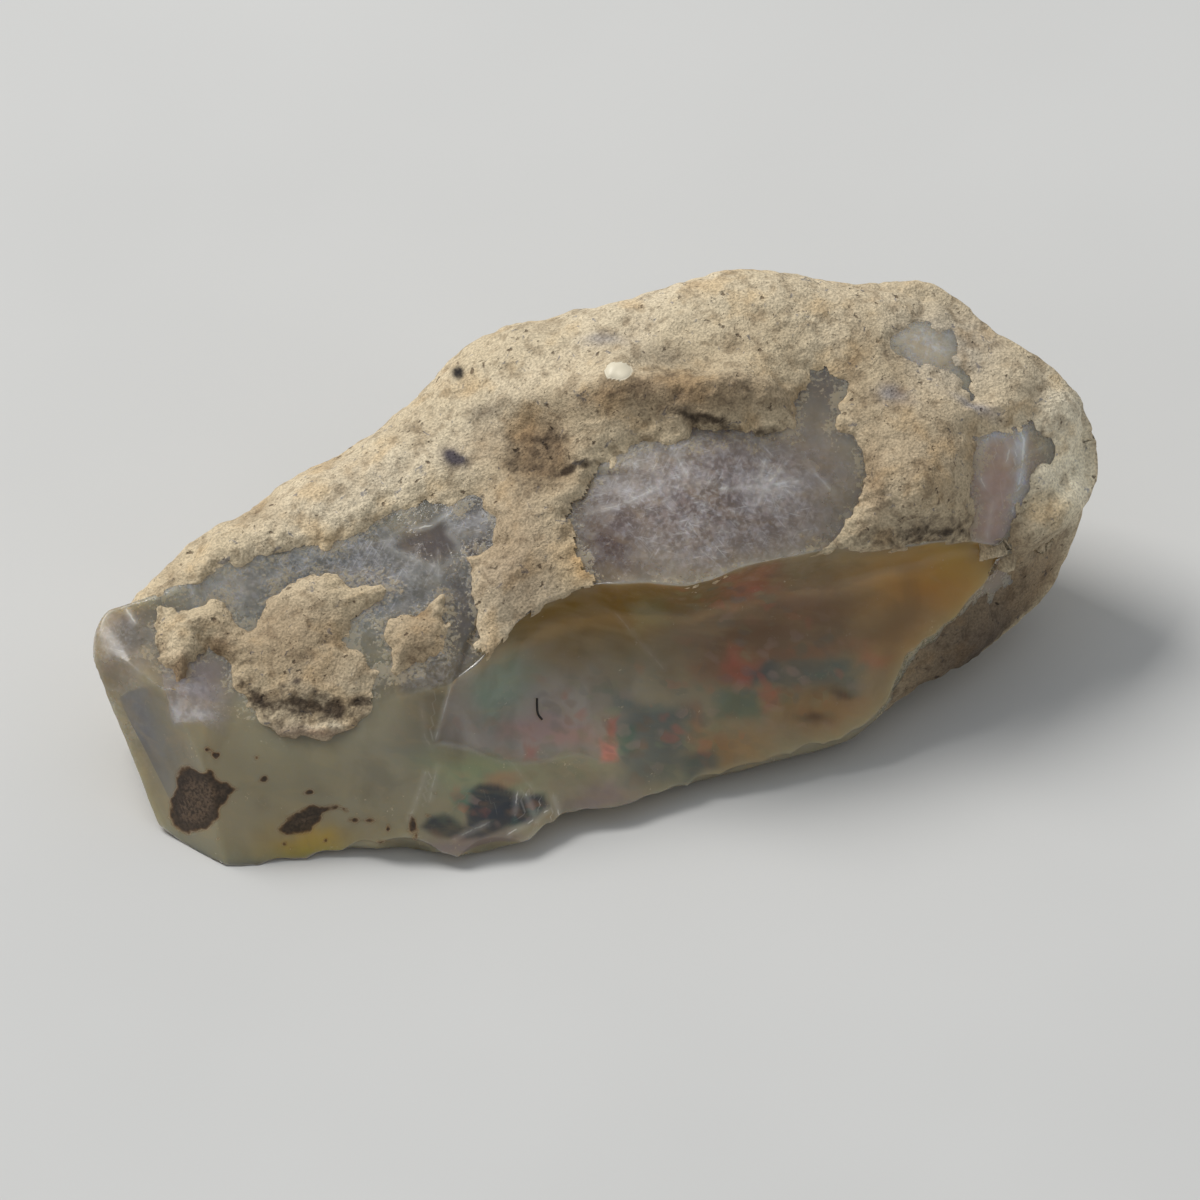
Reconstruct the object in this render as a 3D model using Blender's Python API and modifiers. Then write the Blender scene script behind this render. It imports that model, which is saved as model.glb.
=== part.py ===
"""Rough precious opal with the tan host rock still on its back, top and right end.

The stone lies on its flattest side at z = 0. Its length runs along X and its broken face looks
towards -Y. One closed opal body carries three separate remnants of the host rock. Lengths below
are in millimetres until the meshes are made.
"""
import math

import bmesh
import bpy
import numpy as np
from mathutils import Vector, noise

MM = 0.001

# Driving sizes
LEFT_TIP = -12.55
RIGHT_TIP = 12.8
LEFT_ROUNDING = 0.9
RIGHT_ROUNDING = 1.5
ROCK_THICKNESS = 0.45
ROCK_EDGE = 0.2           # thickness where the host rock breaks off
ROCK_MOST = 1.4
BOND_GAP = 0.05           # between the opal and the host rock
LUMP_SIZE = 2.2           # of the host rock's own unevenness, and how much it rises and falls
LUMP_RISE = 0.25
SMALLEST_REMNANT = 0.8    # square millimetres of host rock worth a piece of its own

# How finely the stone is divided
SECTION_SPACING = 0.5
CAP_SECTIONS = 4
FACE_STEPS = 7
LOOP_STEPS = (6, 7, 4, 4, 3, 3)
REFINED_WITHIN = 0.35     # of a small remnant's outline, where the host rock is divided twice as finely
SNAP = 0.18               # a border this near a corner, as a share of the edge, runs through it
EDGE_BLUR = 0.25          # length over which the corners of the sharp edges are rounded
BODY_BLUR = 0.5           # and those of the rounder lines
POLE = 0.02               # how far the point that closes each end stands out
NO_REACH = 0.01           # stands for any shorter distance, so that nothing is divided by zero

HONEY = (0.35, 0.27, 0.15)
TAN = (0.42, 0.31, 0.19)

# Lines that run the length of the stone, as (x, y, z)
LOWER_EDGE = [
    (-12.6, -1.2, 0.4), (-11.6, -1.6, 0.1), (-10.2, -2.2, 0), (-9, -2.5, 0), (-7.9, -2.7, 0.2),
    (-7.3, -3, 0.5), (-6.8, -3.5, 0.5), (-6, -3.9, 0.4), (-4.6, -4.6, 0.3), (-4, -4.55, 0.4),
    (-3, -4.2, 0.6), (-2.2, -3.95, 0.6), (-1, -4.2, 0.6), (1.2, -4.1, 0.6), (2.4, -4.2, 0.8),
    (4.9, -4.4, 1), (5.5, -4.4, 1.2), (6.3, -4.1, 1.6), (6.9, -3.7, 2.6), (7.5, -3.7, 2.9),
    (8.5, -3.4, 3.2), (9.3, -3.2, 3.7), (9.7, -2.8, 4.2), (10.5, -2.5, 3.6), (12, -1.7, 3.6),
    (13.2, -0.9, 4.4),
]
RIM = [
    (-12.6, 0.6, 4.2), (-11.1, 0.5, 4.1), (-10.4, -0.3, 3.4), (-8.3, -1, 3.2), (-6.3, -1.3, 3.5),
    (-4.7, -1.9, 4), (-3.8, -1.8, 4.3), (-2.8, -1.4, 4.8), (-1.8, -1.2, 5.3), (-0.9, -1.4, 5.6),
    (0.4, -2.1, 5.9), (1.5, -2.7, 5.9), (2.1, -2.8, 6), (2.9, -2.6, 6), (5.3, -2.6, 5.8),
    (7.1, -2.8, 5.4), (8.9, -2.7, 5), (9.4, -2.9, 4.8), (9.8, -2.8, 4.5), (10.5, -2.3, 4.9),
    (12, -1.7, 5), (13.2, -0.9, 5.2),
]
SHOULDER = [
    (-12.6, 2.8, 4.6), (-11.2, 2.6, 4.4), (-9.3, 1.9, 4.5), (-7.2, 1.5, 4.8), (-4.6, 1.4, 5.6),
    (-2.5, 1.3, 6.2), (-0.5, 0.9, 6.9), (1.4, 0.4, 7.5), (3, 0.3, 7.9), (4.8, 0, 7.9),
    (6.6, -0.8, 7.3), (9.2, -1.3, 7), (11.1, -1.2, 6.4), (12.4, -0.8, 6.2), (13.2, -0.5, 6),
]
CREST = [
    (-12.6, 3.4, 4.4), (-11.2, 3.3, 4.6), (-10.4, 3.1, 4.8), (-8.5, 3.6, 5.4), (-6.2, 4, 5.9),
    (-3.9, 4.4, 6.4), (-2.1, 4.7, 7), (-1.2, 5, 7.6), (-0.3, 5, 8.1), (2.1, 4.4, 8.6),
    (5.6, 3.8, 8.9), (7.4, 3.1, 8.6), (9.4, 2.6, 8.3), (10.5, 2.4, 7.9), (11.2, 1.2, 7.4),
    (12.2, 0.2, 6.8), (13.2, -0.1, 5.8),
]
BACK = [
    (-12.6, 3.5, 3), (-10.4, 4.2, 3), (-8.5, 5, 3), (-3.9, 5.9, 3.6), (0, 6.2, 4.4),
    (5.6, 5.4, 4.8), (9.4, 4.2, 4.6), (11.2, 2.6, 4.6), (13.2, 0.3, 4.9),
]
HEEL = [
    (-12.6, 3, 1.2), (-10.4, 3.3, 0.4), (-8.5, 4, 0), (-3.9, 4.8, 0), (2, 5, 0),
    (5.6, 4.2, 0), (9.4, 2.8, 0.7), (11.2, 1, 1.8), (13.2, 0, 4.2),
]
KEEL = [
    (-12.6, 0.6, 0.4), (-11, -0.6, 0), (-8, -1.6, 0), (-4.6, -2.9, -0.1), (-2.6, -2.2, -0.05),
    (1.2, -2.5, -0.1), (5.5, -2.9, 0), (7, -2.5, 0.4), (8, -2.3, 0.7), (9.2, -2.1, 0.9),
    (10.4, -1.9, 1.3), (11.6, -1.5, 1.9), (12.2, -1.2, 2.7), (13.2, -0.8, 4),
]
# How far the face is hollowed between its lower edge and its rim, as (x, depth)
HOLLOW = [
    (-12, -0.25), (-6.5, -0.25), (-4.8, 0.3), (-2.5, 1), (3, 1.2), (7.5, 0.8), (9.6, 0.15),
    (10.5, -0.3), (13, -0.3),
]
HOLLOW_SKEW = 1.45        # above 1, the hollow is deepest near the rim

# The flat break on the left end, as an outward direction and its distance from the origin
LEFT_BREAK = ((-0.85, -0.5, 0.17), 10.07)
REST_HEIGHT = 0.0
# Shell-shaped chips knocked off the lower edge, as (x, y, z, radius) of the ball that fits each
CHIPS = [(-4.7, -6.2, 0.0, 2.15), (-7.1, -4.6, -0.3, 1.7), (0.2, -5.4, -0.4, 1.4)]

# Outlines of the bare opal and of the remnants lie on a sheet that faces the broken face
SHEET_TURN = math.radians(22)
SHEET_TILT = math.radians(42)
IN_SIGHT = (-0.05, 0.12)  # how squarely a point faces the sheet where its outlines begin to hold
# On the sides turned away from the sheet, host rock covers the opal above and behind this line
BOND_HEIGHT = 0.7
BOND_FRONT = -1.5
# Here it also covers the underside of the right end, and it stops short of the left end
RIGHT_COVER_FROM = 6.8
RIGHT_COVER_HEIGHT = 0.65
LEFT_COVER_TO = -10.9
MAIN_BARE = [
    (-13.1, 2.7), (-11.25, 2.8), (-10.65, 2.85), (-10.25, 3.1), (-9.7, 3.4), (-8.8, 3.6),
    (-8.3, 3.9), (-7.3, 4.2), (-6.6, 4.1), (-5.75, 4.45), (-5.3, 4.9), (-4.6, 5.15), (-2.8, 5.3),
    (-2.5, 4.8), (-2.55, 4.1), (-3.1, 3.8), (-3.1, 2.9), (-2.9, 2.35), (-2.8, 1.7), (-2.7, 1.2),
    (-2.1, 2), (-1.2, 2.7), (-0.35, 3), (0.15, 3.1), (1.15, 3.15), (2.4, 3.05), (3, 3.2),
    (3.65, 3.5), (4.9, 3.8), (6, 4), (7.65, 4), (8.65, 4.15), (9.3, 4.25), (9.8, 4.15), (10, 3.9),
    (9.85, 3.1), (9.2, 2.4), (8.45, 1.7), (7.95, 1.4), (7.8, 0.8), (7.45, 0.3), (7.15, -0.15),
    (7.65, -4.8), (-13.35, -4.8),
]
WINDOW_TOP = [
    (-0.7, 4.8), (-0.2, 5.45), (0.1, 6), (0.8, 6.4), (1.2, 6.7), (2.35, 6.7), (2.5, 7), (4.1, 6.9),
    (4.9, 7), (4.95, 7.6), (5.35, 8), (5.4, 8.5), (5.7, 8.6), (6.2, 8.3), (6.3, 7.9), (6.1, 7.6),
    (6, 7.1), (6.7, 6.6), (6.8, 6), (6.6, 5.2), (6.25, 4.65), (6, 4.3), (5.45, 3.9), (3.65, 3.4),
    (2.4, 2.9), (0.15, 2.9), (-0.2, 3.4), (-0.5, 4.1),
]
WINDOW_RIGHT = [
    (9.5, 6), (9.5, 6.7), (9.9, 6.85), (10.6, 7), (10.95, 7.2), (11.5, 6.6), (11.4, 6.15), (11, 6),
    (10.8, 5.8), (10.6, 5.1), (10.3, 4.2), (10.2, 3.45), (9.9, 3.4), (9.6, 4.2), (9.4, 5.2),
]
WINDOW_CREST = [
    (7.4, 9.25), (7.9, 9.8), (8.6, 9.25), (8.9, 8.8), (9.05, 8.2), (8.6, 8.2), (8, 8.55),
]
REMNANT_LARGE = [
    (-11, 2.2), (-10.8, 2.5), (-10.3, 2.55), (-9.85, 2.6), (-9.3, 2.75), (-9, 2.25), (-8.55, 2),
    (-8.2, 2.6), (-7.9, 3.1), (-7.35, 3.35), (-6.6, 3.4), (-6.3, 3.15), (-5.55, 3.1), (-5.2, 3),
    (-5.2, 2.65), (-5.75, 2.6), (-6.1, 2.25), (-6.2, 1.8), (-5.9, 1.4), (-5.4, 0.9), (-5.55, 0.2),
    (-5.6, -0.05), (-6, -0.4), (-6.55, -0.7), (-6.95, -0.8), (-7.6, -0.7), (-8.3, -0.4),
    (-8.8, 0.35), (-9.1, 1.15), (-9.3, 1.4), (-9.65, 1.55), (-9.9, 1.25), (-10.2, 0.9),
    (-10.4, 0.75), (-10.85, 1.2), (-10.95, 1.7),
]
REMNANT_SMALL = [
    (-5.15, 2.2), (-4.6, 2.4), (-4.2, 2.5), (-3.85, 2.75), (-3.65, 2.65), (-3.6, 1.55),
    (-3.65, 1.35), (-4.2, 1.2), (-4.6, 1.15), (-4.9, 0.9), (-5.15, 0.95),
]
BARE = (MAIN_BARE, WINDOW_TOP, WINDOW_RIGHT, WINDOW_CREST)
REMNANTS = (REMNANT_LARGE, REMNANT_SMALL)

# Swells and pits of the host rock on the sheet, as (across, up, half width, half height, rise)
SWELLS = [
    (-1.0, 7.6, 1.2, 0.5, 0.25), (1.2, 7.7, 1.4, 0.5, 0.4), (3.3, 7.7, 1.8, 0.45, 0.6),
    (-1.3, 6.6, 0.6, 0.8, -0.35), (-0.6, 5.7, 0.5, 0.5, -0.3), (8.0, 5.5, 1.2, 0.8, 0.45),
    (-7.2, 1.2, 1.4, 1.1, 0.05), (-7.3, 0.2, 1.3, 0.4, 0.3), (-10.2, 1.7, 0.6, 0.6, 0.1),
    (0.7, 8.35, 0.3, 0.25, 0.3), (-2.2, 4.9, 0.6, 0.8, 0.2), (11.0, 7.6, 0.35, 0.9, -0.3),
    (11.9, 7.6, 0.7, 1.0, 0.2), (9.6, 8.0, 0.9, 0.9, 0.2), (3.7, 10.4, 1.6, 0.5, 0.25),
    (9.6, 10.1, 0.7, 0.6, 0.4), (-10.6, 3.2, 0.8, 0.5, -0.15), (11, 3.2, 1.2, 1.5, -0.2),
]


def along(line, x, blur=EDGE_BLUR):
    """The (y, z) of a line at each x, with its corners rounded over the length blur."""
    table = np.array(line)
    near = x[:, None] + np.linspace(-blur, blur, 5)
    across = [np.interp(near, table[:, 0], table[:, k]).mean(axis=1) for k in (1, 2)]
    return np.stack(across, axis=1)


def stations():
    """Distances along X of the cross-sections, closer together on the two rounded ends."""
    turn = np.linspace(0, math.pi / 2, CAP_SECTIONS + 1)[1:]
    left = LEFT_TIP + LEFT_ROUNDING * (1 - np.cos(turn))
    right = RIGHT_TIP - RIGHT_ROUNDING * (1 - np.cos(turn))
    count = round((right[-1] - left[-1]) / SECTION_SPACING)
    middle = np.linspace(left[-1], right[-1], count + 1)[1:-1]
    return np.concatenate([left, middle, right[::-1]])


def broken_face(x):
    """Points of each cross-section on the face, from the lower edge up to just under the rim."""
    low = along(LOWER_EDGE, x)
    high = along(RIM, x)
    v = np.linspace(0, 1, FACE_STEPS, endpoint=False)[None, :, None]
    rise = (high - low)[:, None, :]
    depth = np.interp(x, *np.array(HOLLOW).T)[:, None, None]
    inward = np.stack([rise[..., 1], -rise[..., 0]], axis=-1)
    inward = inward / np.linalg.norm(inward, axis=-1, keepdims=True)
    return low[:, None, :] + rise * v + inward * depth * np.sin(math.pi * v ** HOLLOW_SKEW)


def rounded_loop(x):
    """Points from the rim over the crest, down the back and under the stone to the lower edge."""
    knots = [along(line, x, BODY_BLUR) for line in (SHOULDER, CREST, BACK, HEEL, KEEL)]
    knots = [along(RIM, x)] + knots + [along(LOWER_EDGE, x)]
    knots = [2 * knots[0] - knots[1]] + knots + [2 * knots[-1] - knots[-2]]
    stretches = []
    for k, steps in enumerate(LOOP_STEPS):
        before, start, end, after = (p[:, None, :] for p in knots[k:k + 4])
        v = np.linspace(0, 1, steps, endpoint=False)[None, :, None]
        bend = (2 * before - 5 * start + 4 * end - after) * v ** 2
        twist = (3 * start - before - 3 * end + after) * v ** 3
        stretches.append((2 * start + (end - before) * v + bend + twist) / 2)
    return np.concatenate(stretches, axis=1)


def loft():
    """The whole stone as rings of points, (section, around, xyz)."""
    x = stations()
    ring = np.concatenate([broken_face(x), rounded_loop(x)], axis=1)
    centre = ring.mean(axis=1, keepdims=True)
    from_left = np.clip((LEFT_TIP + LEFT_ROUNDING - x) / LEFT_ROUNDING, 0, 1)
    from_right = np.clip((x - RIGHT_TIP + RIGHT_ROUNDING) / RIGHT_ROUNDING, 0, 1)
    size = np.sqrt(1 - np.maximum(from_left, from_right) ** 2)[:, None, None]
    ring = centre + (ring - centre) * size
    return np.concatenate([np.broadcast_to(x[:, None, None], ring[..., :1].shape), ring], axis=2)


def break_flat(points, direction, distance):
    """Moves every point beyond a plane straight back onto it."""
    normal = np.array(direction) / np.linalg.norm(direction)
    beyond = np.maximum(points @ normal - distance, 0)
    return points - beyond[:, None] * normal


def chip(points, x, y, z, radius):
    """Moves every point inside a ball straight out onto its surface."""
    centre = np.array((x, y, z))
    away = points - centre
    reach = np.linalg.norm(away, axis=1, keepdims=True)
    return np.where(reach < radius, centre + away * radius / np.maximum(reach, NO_REACH), points)


def opal_mesh():
    """The opal body as a closed bmesh of triangles, in millimetres."""
    rings = loft()
    sections, around = rings.shape[:2]
    poles = rings[[0, -1]].mean(axis=1) + np.array([(-POLE, 0, 0), (POLE, 0, 0)])
    points = np.concatenate([rings.reshape(-1, 3), poles])
    points = break_flat(points, *LEFT_BREAK)
    for ball in CHIPS:
        points = chip(points, *ball)
    points[:, 2] = np.maximum(points[:, 2], REST_HEIGHT)
    bm = bmesh.new()
    verts = [bm.verts.new(p) for p in points]
    for i in range(sections - 1):
        for j in range(around):
            k = (j + 1) % around
            corners = (i * around + j, i * around + k, (i + 1) * around + k, (i + 1) * around + j)
            bm.faces.new([verts[c] for c in corners])
    last = (sections - 1) * around
    for j in range(around):
        k = (j + 1) % around
        bm.faces.new((verts[-2], verts[k], verts[j]))
        bm.faces.new((verts[-1], verts[last + j], verts[last + k]))
    bmesh.ops.triangulate(bm, faces=bm.faces)
    bmesh.ops.recalc_face_normals(bm, faces=bm.faces)
    bm.normal_update()
    return bm


def outline_distance(points, outline):
    """Distance of sheet points to a closed outline, negative inside it."""
    corners = np.array(outline)
    nearest = np.full(len(points), np.inf)
    inside = np.zeros(len(points), dtype=bool)
    for start, end in zip(corners, np.roll(corners, -1, axis=0)):
        side = end - start
        offset = points - start
        share = np.clip(offset @ side / (side @ side), 0, 1)
        nearest = np.minimum(nearest, np.linalg.norm(offset - share[:, None] * side, axis=1))
        level = (start[1] > points[:, 1]) != (end[1] > points[:, 1])
        rise = side[1] if side[1] else 1
        inside ^= level & (points[:, 0] < start[0] + (points[:, 1] - start[1]) * side[0] / rise)
    return np.where(inside, -nearest, nearest)


def soft_step(low, high, value):
    """0 below low, 1 above high and a smooth rise between them."""
    share = np.clip((value - low) / (high - low), 0, 1)
    return share * share * (3 - 2 * share)


def cast(points, normals):
    """Where points fall on the sheet, and how squarely each one faces it."""
    across = np.array((math.cos(SHEET_TURN), -math.sin(SHEET_TURN), 0))
    level = np.array((math.sin(SHEET_TURN), math.cos(SHEET_TURN), 0))
    up = level * math.sin(SHEET_TILT) + np.array((0, 0, math.cos(SHEET_TILT)))
    facing = np.array((0, 0, math.sin(SHEET_TILT))) - level * math.cos(SHEET_TILT)
    return np.stack([points @ across, points @ up], axis=1), normals @ facing


def rock_cover(points, normals):
    """Signed cover of host rock at each point of the opal: its thickness, or below 0 where bare."""
    sheet, facing = cast(points, normals)
    shown = np.min([outline_distance(sheet, outline) for outline in BARE], axis=0)
    for outline in REMNANTS:
        shown = np.maximum(shown, -outline_distance(sheet, outline))
    x, y, z = points.T
    lifted = np.minimum(z - BOND_HEIGHT, y - BOND_FRONT)
    right_end = np.minimum(x - RIGHT_COVER_FROM, z - RIGHT_COVER_HEIGHT)
    hidden = np.minimum(np.maximum(lifted, right_end), x - LEFT_COVER_TO)
    share = soft_step(*IN_SIGHT, facing)
    distance = hidden + (shown - hidden) * share
    thickness = np.full(len(points), ROCK_THICKNESS)
    for across_at, up_at, half_width, half_height, rise in SWELLS:
        reach = ((sheet[:, 0] - across_at) / half_width) ** 2
        reach += ((sheet[:, 1] - up_at) / half_height) ** 2
        thickness += rise * share * np.exp(-reach)
    lumps = np.array([noise.noise(Vector(p) / LUMP_SIZE) for p in points])
    thickness += LUMP_RISE * lumps
    return np.where(distance > 0, np.clip(thickness, ROCK_EDGE, ROCK_MOST), distance)


def surface(bm):
    """The positions and normals of the vertices of bm."""
    bm.normal_update()
    return np.array([vert.co for vert in bm.verts]), np.array([vert.normal for vert in bm.verts])


def refine_remnants(bm):
    """Divides the triangles in and around the small remnants once more."""
    sheet, facing = cast(*surface(bm))
    distance = np.min([outline_distance(sheet, outline) for outline in REMNANTS], axis=0)
    near = {v for v, d, f in zip(bm.verts, distance, facing) if d < REFINED_WITHIN and f > 0}
    edges = [edge for edge in bm.edges if near.issuperset(edge.verts)]
    bmesh.ops.subdivide_edges(bm, edges=edges, cuts=1, use_grid_fill=True)
    bmesh.ops.triangulate(bm, faces=bm.faces)


def cut_along_border(bm):
    """Splits triangles where the cover changes sign, and returns the cover of each vertex."""
    values = dict(zip(bm.verts, rock_cover(*surface(bm))))
    for edge in list(bm.edges):
        start, end = edge.verts
        if values[start] * values[end] >= 0:
            continue
        share = values[start] / (values[start] - values[end])
        if share < SNAP:
            values[start] = 0.0
        elif share > 1 - SNAP:
            values[end] = 0.0
    for edge in list(bm.edges):
        start, end = edge.verts
        if values[start] * values[end] < 0:
            share = values[start] / (values[start] - values[end])
            middle = bmesh.utils.edge_split(edge, start, share)[1]
            values[middle] = 0.0
    border = [vert for vert in bm.verts if values[vert] == 0]
    bmesh.ops.connect_verts(bm, verts=border)
    bmesh.ops.triangulate(bm, faces=bm.faces)
    bm.normal_update()
    return values


def remnants(bm, values):
    """Groups of joined faces that host rock covers, largest first."""
    covered = {face for face in bm.faces if sum(values[vert] for vert in face.verts) > 0}
    for vert in bm.verts:
        open_edges = [e for e in vert.link_edges if len(covered.intersection(e.link_faces)) == 1]
        if len(open_edges) > 2:
            covered.update(vert.link_faces)
    groups = []
    while covered:
        group = set()
        waiting = [covered.pop()]
        while waiting:
            face = waiting.pop()
            group.add(face)
            beside = {f for edge in face.edges for f in edge.link_faces} & covered
            covered -= beside
            waiting.extend(beside)
        groups.append(group)
    groups = [g for g in groups if sum(face.calc_area() for face in g) > SMALLEST_REMNANT]
    return sorted(groups, key=len, reverse=True)


def material(name, colour, roughness, transmission=0.0):
    """A material without metal in it, from its colour, roughness and how much light it lets through."""
    made = bpy.data.materials.new(name)
    made.use_nodes = True
    shader = made.node_tree.nodes["Principled BSDF"]
    shader.inputs["Base Color"].default_value = (*colour, 1)
    shader.inputs["Roughness"].default_value = roughness
    shader.inputs["Metallic"].default_value = 0
    shader.inputs["Transmission Weight"].default_value = transmission
    return made


def add_object(name, verts, faces, finish):
    """A smooth-shaded object from points in millimetres."""
    mesh = bpy.data.meshes.new(name)
    mesh.from_pydata([Vector(vert) * MM for vert in verts], [], faces)
    mesh.shade_smooth()
    mesh.materials.append(finish)
    ob = bpy.data.objects.new(name, mesh)
    stone.objects.link(ob)
    return ob


def add_remnant(name, group, values, finish):
    """Host rock as an open sheet just off the opal, made solid outwards to its own thickness."""
    verts = sorted({vert for face in group for vert in face.verts}, key=lambda vert: vert.index)
    number = {vert: k for k, vert in enumerate(verts)}
    faces = [[number[vert] for vert in face.verts] for face in sorted(group, key=lambda f: f.index)]
    ob = add_object(name, [vert.co + vert.normal * BOND_GAP for vert in verts], faces, finish)
    thickness = ob.vertex_groups.new(name="thickness")
    for vert, k in number.items():
        thickness.add([k], max(values[vert], ROCK_EDGE) / ROCK_MOST, "REPLACE")
    solid = ob.modifiers.new("rock", "SOLIDIFY")
    solid.thickness = ROCK_MOST * MM
    solid.offset = 1
    solid.vertex_group = thickness.name
    return ob


for old in list(bpy.data.objects):
    bpy.data.objects.remove(old)
stone = bpy.data.collections.new("rough_opal_specimen")
bpy.context.scene.collection.children.link(stone)
honey_opal = material("honey_opal", HONEY, roughness=0.12, transmission=0.5)
tan_rock = material("tan_rock", TAN, roughness=0.9)

body = opal_mesh()
sides = [[vert.index for vert in face.verts] for face in body.faces]
add_object("opal", [vert.co for vert in body.verts], sides, honey_opal)
refine_remnants(body)
cover_at = cut_along_border(body)
body.verts.index_update()
body.faces.index_update()
for name, group in zip(("host_rock", "host_rock_island", "host_rock_islet"), remnants(body, cover_at)):
    add_remnant(name, group, cover_at, tan_rock)
body.free()
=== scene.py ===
"""Looks of the rough precious opal: a see-through honey body with play of colour, the porous tan
host rock on its back, top and right end, and a stray fibre, on a pale floor in soft studio light.

The stone is worked out in millimetres from the same lines as the solids, only more finely.
"""
import math

import bpy
import numpy as np
from mathutils import Matrix, Vector, noise


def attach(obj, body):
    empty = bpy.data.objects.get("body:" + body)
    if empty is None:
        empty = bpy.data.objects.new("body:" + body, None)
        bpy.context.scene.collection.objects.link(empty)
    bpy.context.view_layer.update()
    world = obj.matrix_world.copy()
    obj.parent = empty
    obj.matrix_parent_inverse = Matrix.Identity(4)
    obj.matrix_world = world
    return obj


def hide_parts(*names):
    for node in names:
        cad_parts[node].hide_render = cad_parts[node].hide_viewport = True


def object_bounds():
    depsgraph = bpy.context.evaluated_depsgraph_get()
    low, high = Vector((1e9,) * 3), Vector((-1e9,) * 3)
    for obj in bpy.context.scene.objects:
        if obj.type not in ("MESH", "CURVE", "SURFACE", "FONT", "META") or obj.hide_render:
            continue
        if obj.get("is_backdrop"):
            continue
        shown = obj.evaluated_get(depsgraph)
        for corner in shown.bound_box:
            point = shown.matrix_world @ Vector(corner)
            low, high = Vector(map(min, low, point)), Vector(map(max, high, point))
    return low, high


MM = 0.001

# ---------------------------------------------------------------- sizes of the stone, as its solids
LEFT_TIP = -12.55
RIGHT_TIP = 12.8
LEFT_ROUNDING = 0.9
RIGHT_ROUNDING = 1.5
ROCK_THICKNESS = 0.45
ROCK_LEAST = 0.12
ROCK_MOST = 1.4
LUMP_SIZE = 2.2           # of the host rock's own unevenness, and how much it rises and falls
LUMP_RISE = 0.25
INNER_DEPTH = 0.08        # how far inside the opal's surface the bonded side of the host rock lies
BOX_MARGIN = 0.01         # that the looks stay inside the solids' box
HOLLOW_SKEW = 1.45        # above 1, the hollow is deepest near the rim
HOLLOW_BLUR = 1.5         # length over which its depths run into each other
LOOP_BLUR = 0.9           # length over which the corners of the rounder lines are rounded
BLUR_SAMPLES = 21
NO_REACH = 0.01           # stands for any shorter distance, so that nothing is divided by zero
NO_AREA = 1e-9            # and this for any smaller area

LOWER_EDGE = [
    (-12.6, -1.2, 0.4), (-11.6, -1.6, 0.1), (-10.2, -2.2, 0), (-9, -2.5, 0), (-7.9, -2.7, 0.2),
    (-7.3, -3, 0.5), (-6.8, -3.5, 0.5), (-6, -3.9, 0.4), (-4.6, -4.6, 0.3), (-4, -4.55, 0.4),
    (-3, -4.2, 0.6), (-2.2, -3.95, 0.6), (-1, -4.2, 0.6), (1.2, -4.1, 0.6), (2.4, -4.2, 0.8), (4.9, -4.4, 1),
    (5.5, -4.4, 1.2), (6.3, -4.1, 1.6), (6.9, -3.7, 2.6), (7.5, -3.7, 2.9), (8.5, -3.4, 3.2),
    (9.3, -3.2, 3.7), (9.7, -2.8, 4.2), (10.5, -2.5, 3.6), (12, -1.7, 3.6), (13.2, -0.9, 4.4),
]
RIM = [
    (-12.6, 0.6, 4.2), (-11.1, 0.5, 4.1), (-10.4, -0.3, 3.4), (-8.3, -1, 3.2), (-6.3, -1.3, 3.5),
    (-4.7, -1.9, 4), (-3.8, -1.8, 4.3), (-2.8, -1.4, 4.8), (-1.8, -1.2, 5.3), (-0.9, -1.4, 5.6),
    (0.4, -2.1, 5.9), (1.5, -2.7, 5.9), (2.1, -2.8, 6), (2.9, -2.6, 6), (5.3, -2.6, 5.8),
    (7.1, -2.8, 5.4), (8.9, -2.7, 5), (9.4, -2.9, 4.8), (9.8, -2.8, 4.5), (10.5, -2.3, 4.9),
    (12, -1.7, 5), (13.2, -0.9, 5.2),
]
SHOULDER = [
    (-12.6, 2.8, 4.6), (-11.2, 2.6, 4.4), (-9.3, 1.9, 4.5), (-7.2, 1.5, 4.8), (-4.6, 1.4, 5.6),
    (-2.5, 1.3, 6.2), (-0.5, 0.9, 6.9), (1.4, 0.4, 7.5), (3, 0.3, 7.9), (4.8, 0, 7.9),
    (6.6, -0.8, 7.3), (9.2, -1.3, 7), (11.1, -1.2, 6.4), (12.4, -0.8, 6.2), (13.2, -0.5, 6),
]
CREST = [
    (-12.6, 3.4, 4.4), (-11.2, 3.3, 4.6), (-10.4, 3.1, 4.8), (-8.5, 3.6, 5.4), (-6.2, 4, 5.9),
    (-3.9, 4.4, 6.4), (-2.1, 4.7, 7), (-1.2, 5, 7.6), (-0.3, 5, 8.1), (2.1, 4.4, 8.6),
    (5.6, 3.8, 8.9), (7.4, 3.1, 8.6), (9.4, 2.6, 8.3), (10.5, 2.4, 7.9), (11.2, 1.2, 7.4),
    (12.2, 0.2, 6.8), (13.2, -0.1, 5.8),
]
BACK = [
    (-12.6, 3.5, 3), (-10.4, 4.2, 3), (-8.5, 5, 3), (-3.9, 5.9, 3.6), (0, 6.2, 4.4),
    (5.6, 5.4, 4.8), (9.4, 4.2, 4.6), (11.2, 2.6, 4.6), (13.2, 0.3, 4.9),
]
HEEL = [
    (-12.6, 3, 1.2), (-10.4, 3.3, 0.4), (-8.5, 4, 0), (-3.9, 4.8, 0), (2, 5, 0),
    (5.6, 4.2, 0), (9.4, 2.8, 0.7), (11.2, 1, 1.8), (13.2, 0, 4.2),
]
KEEL = [
    (-12.6, 0.6, 0.4), (-11, -0.6, 0), (-8, -1.6, 0), (-4.6, -2.9, -0.1), (-2.6, -2.2, -0.05),
    (1.2, -2.5, -0.1), (5.5, -2.9, 0), (7, -2.5, 0.4), (8, -2.3, 0.7), (9.2, -2.1, 0.9), (10.4, -1.9, 1.3),
    (11.6, -1.5, 1.9), (12.2, -1.2, 2.7), (13.2, -0.8, 4),
]
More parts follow.
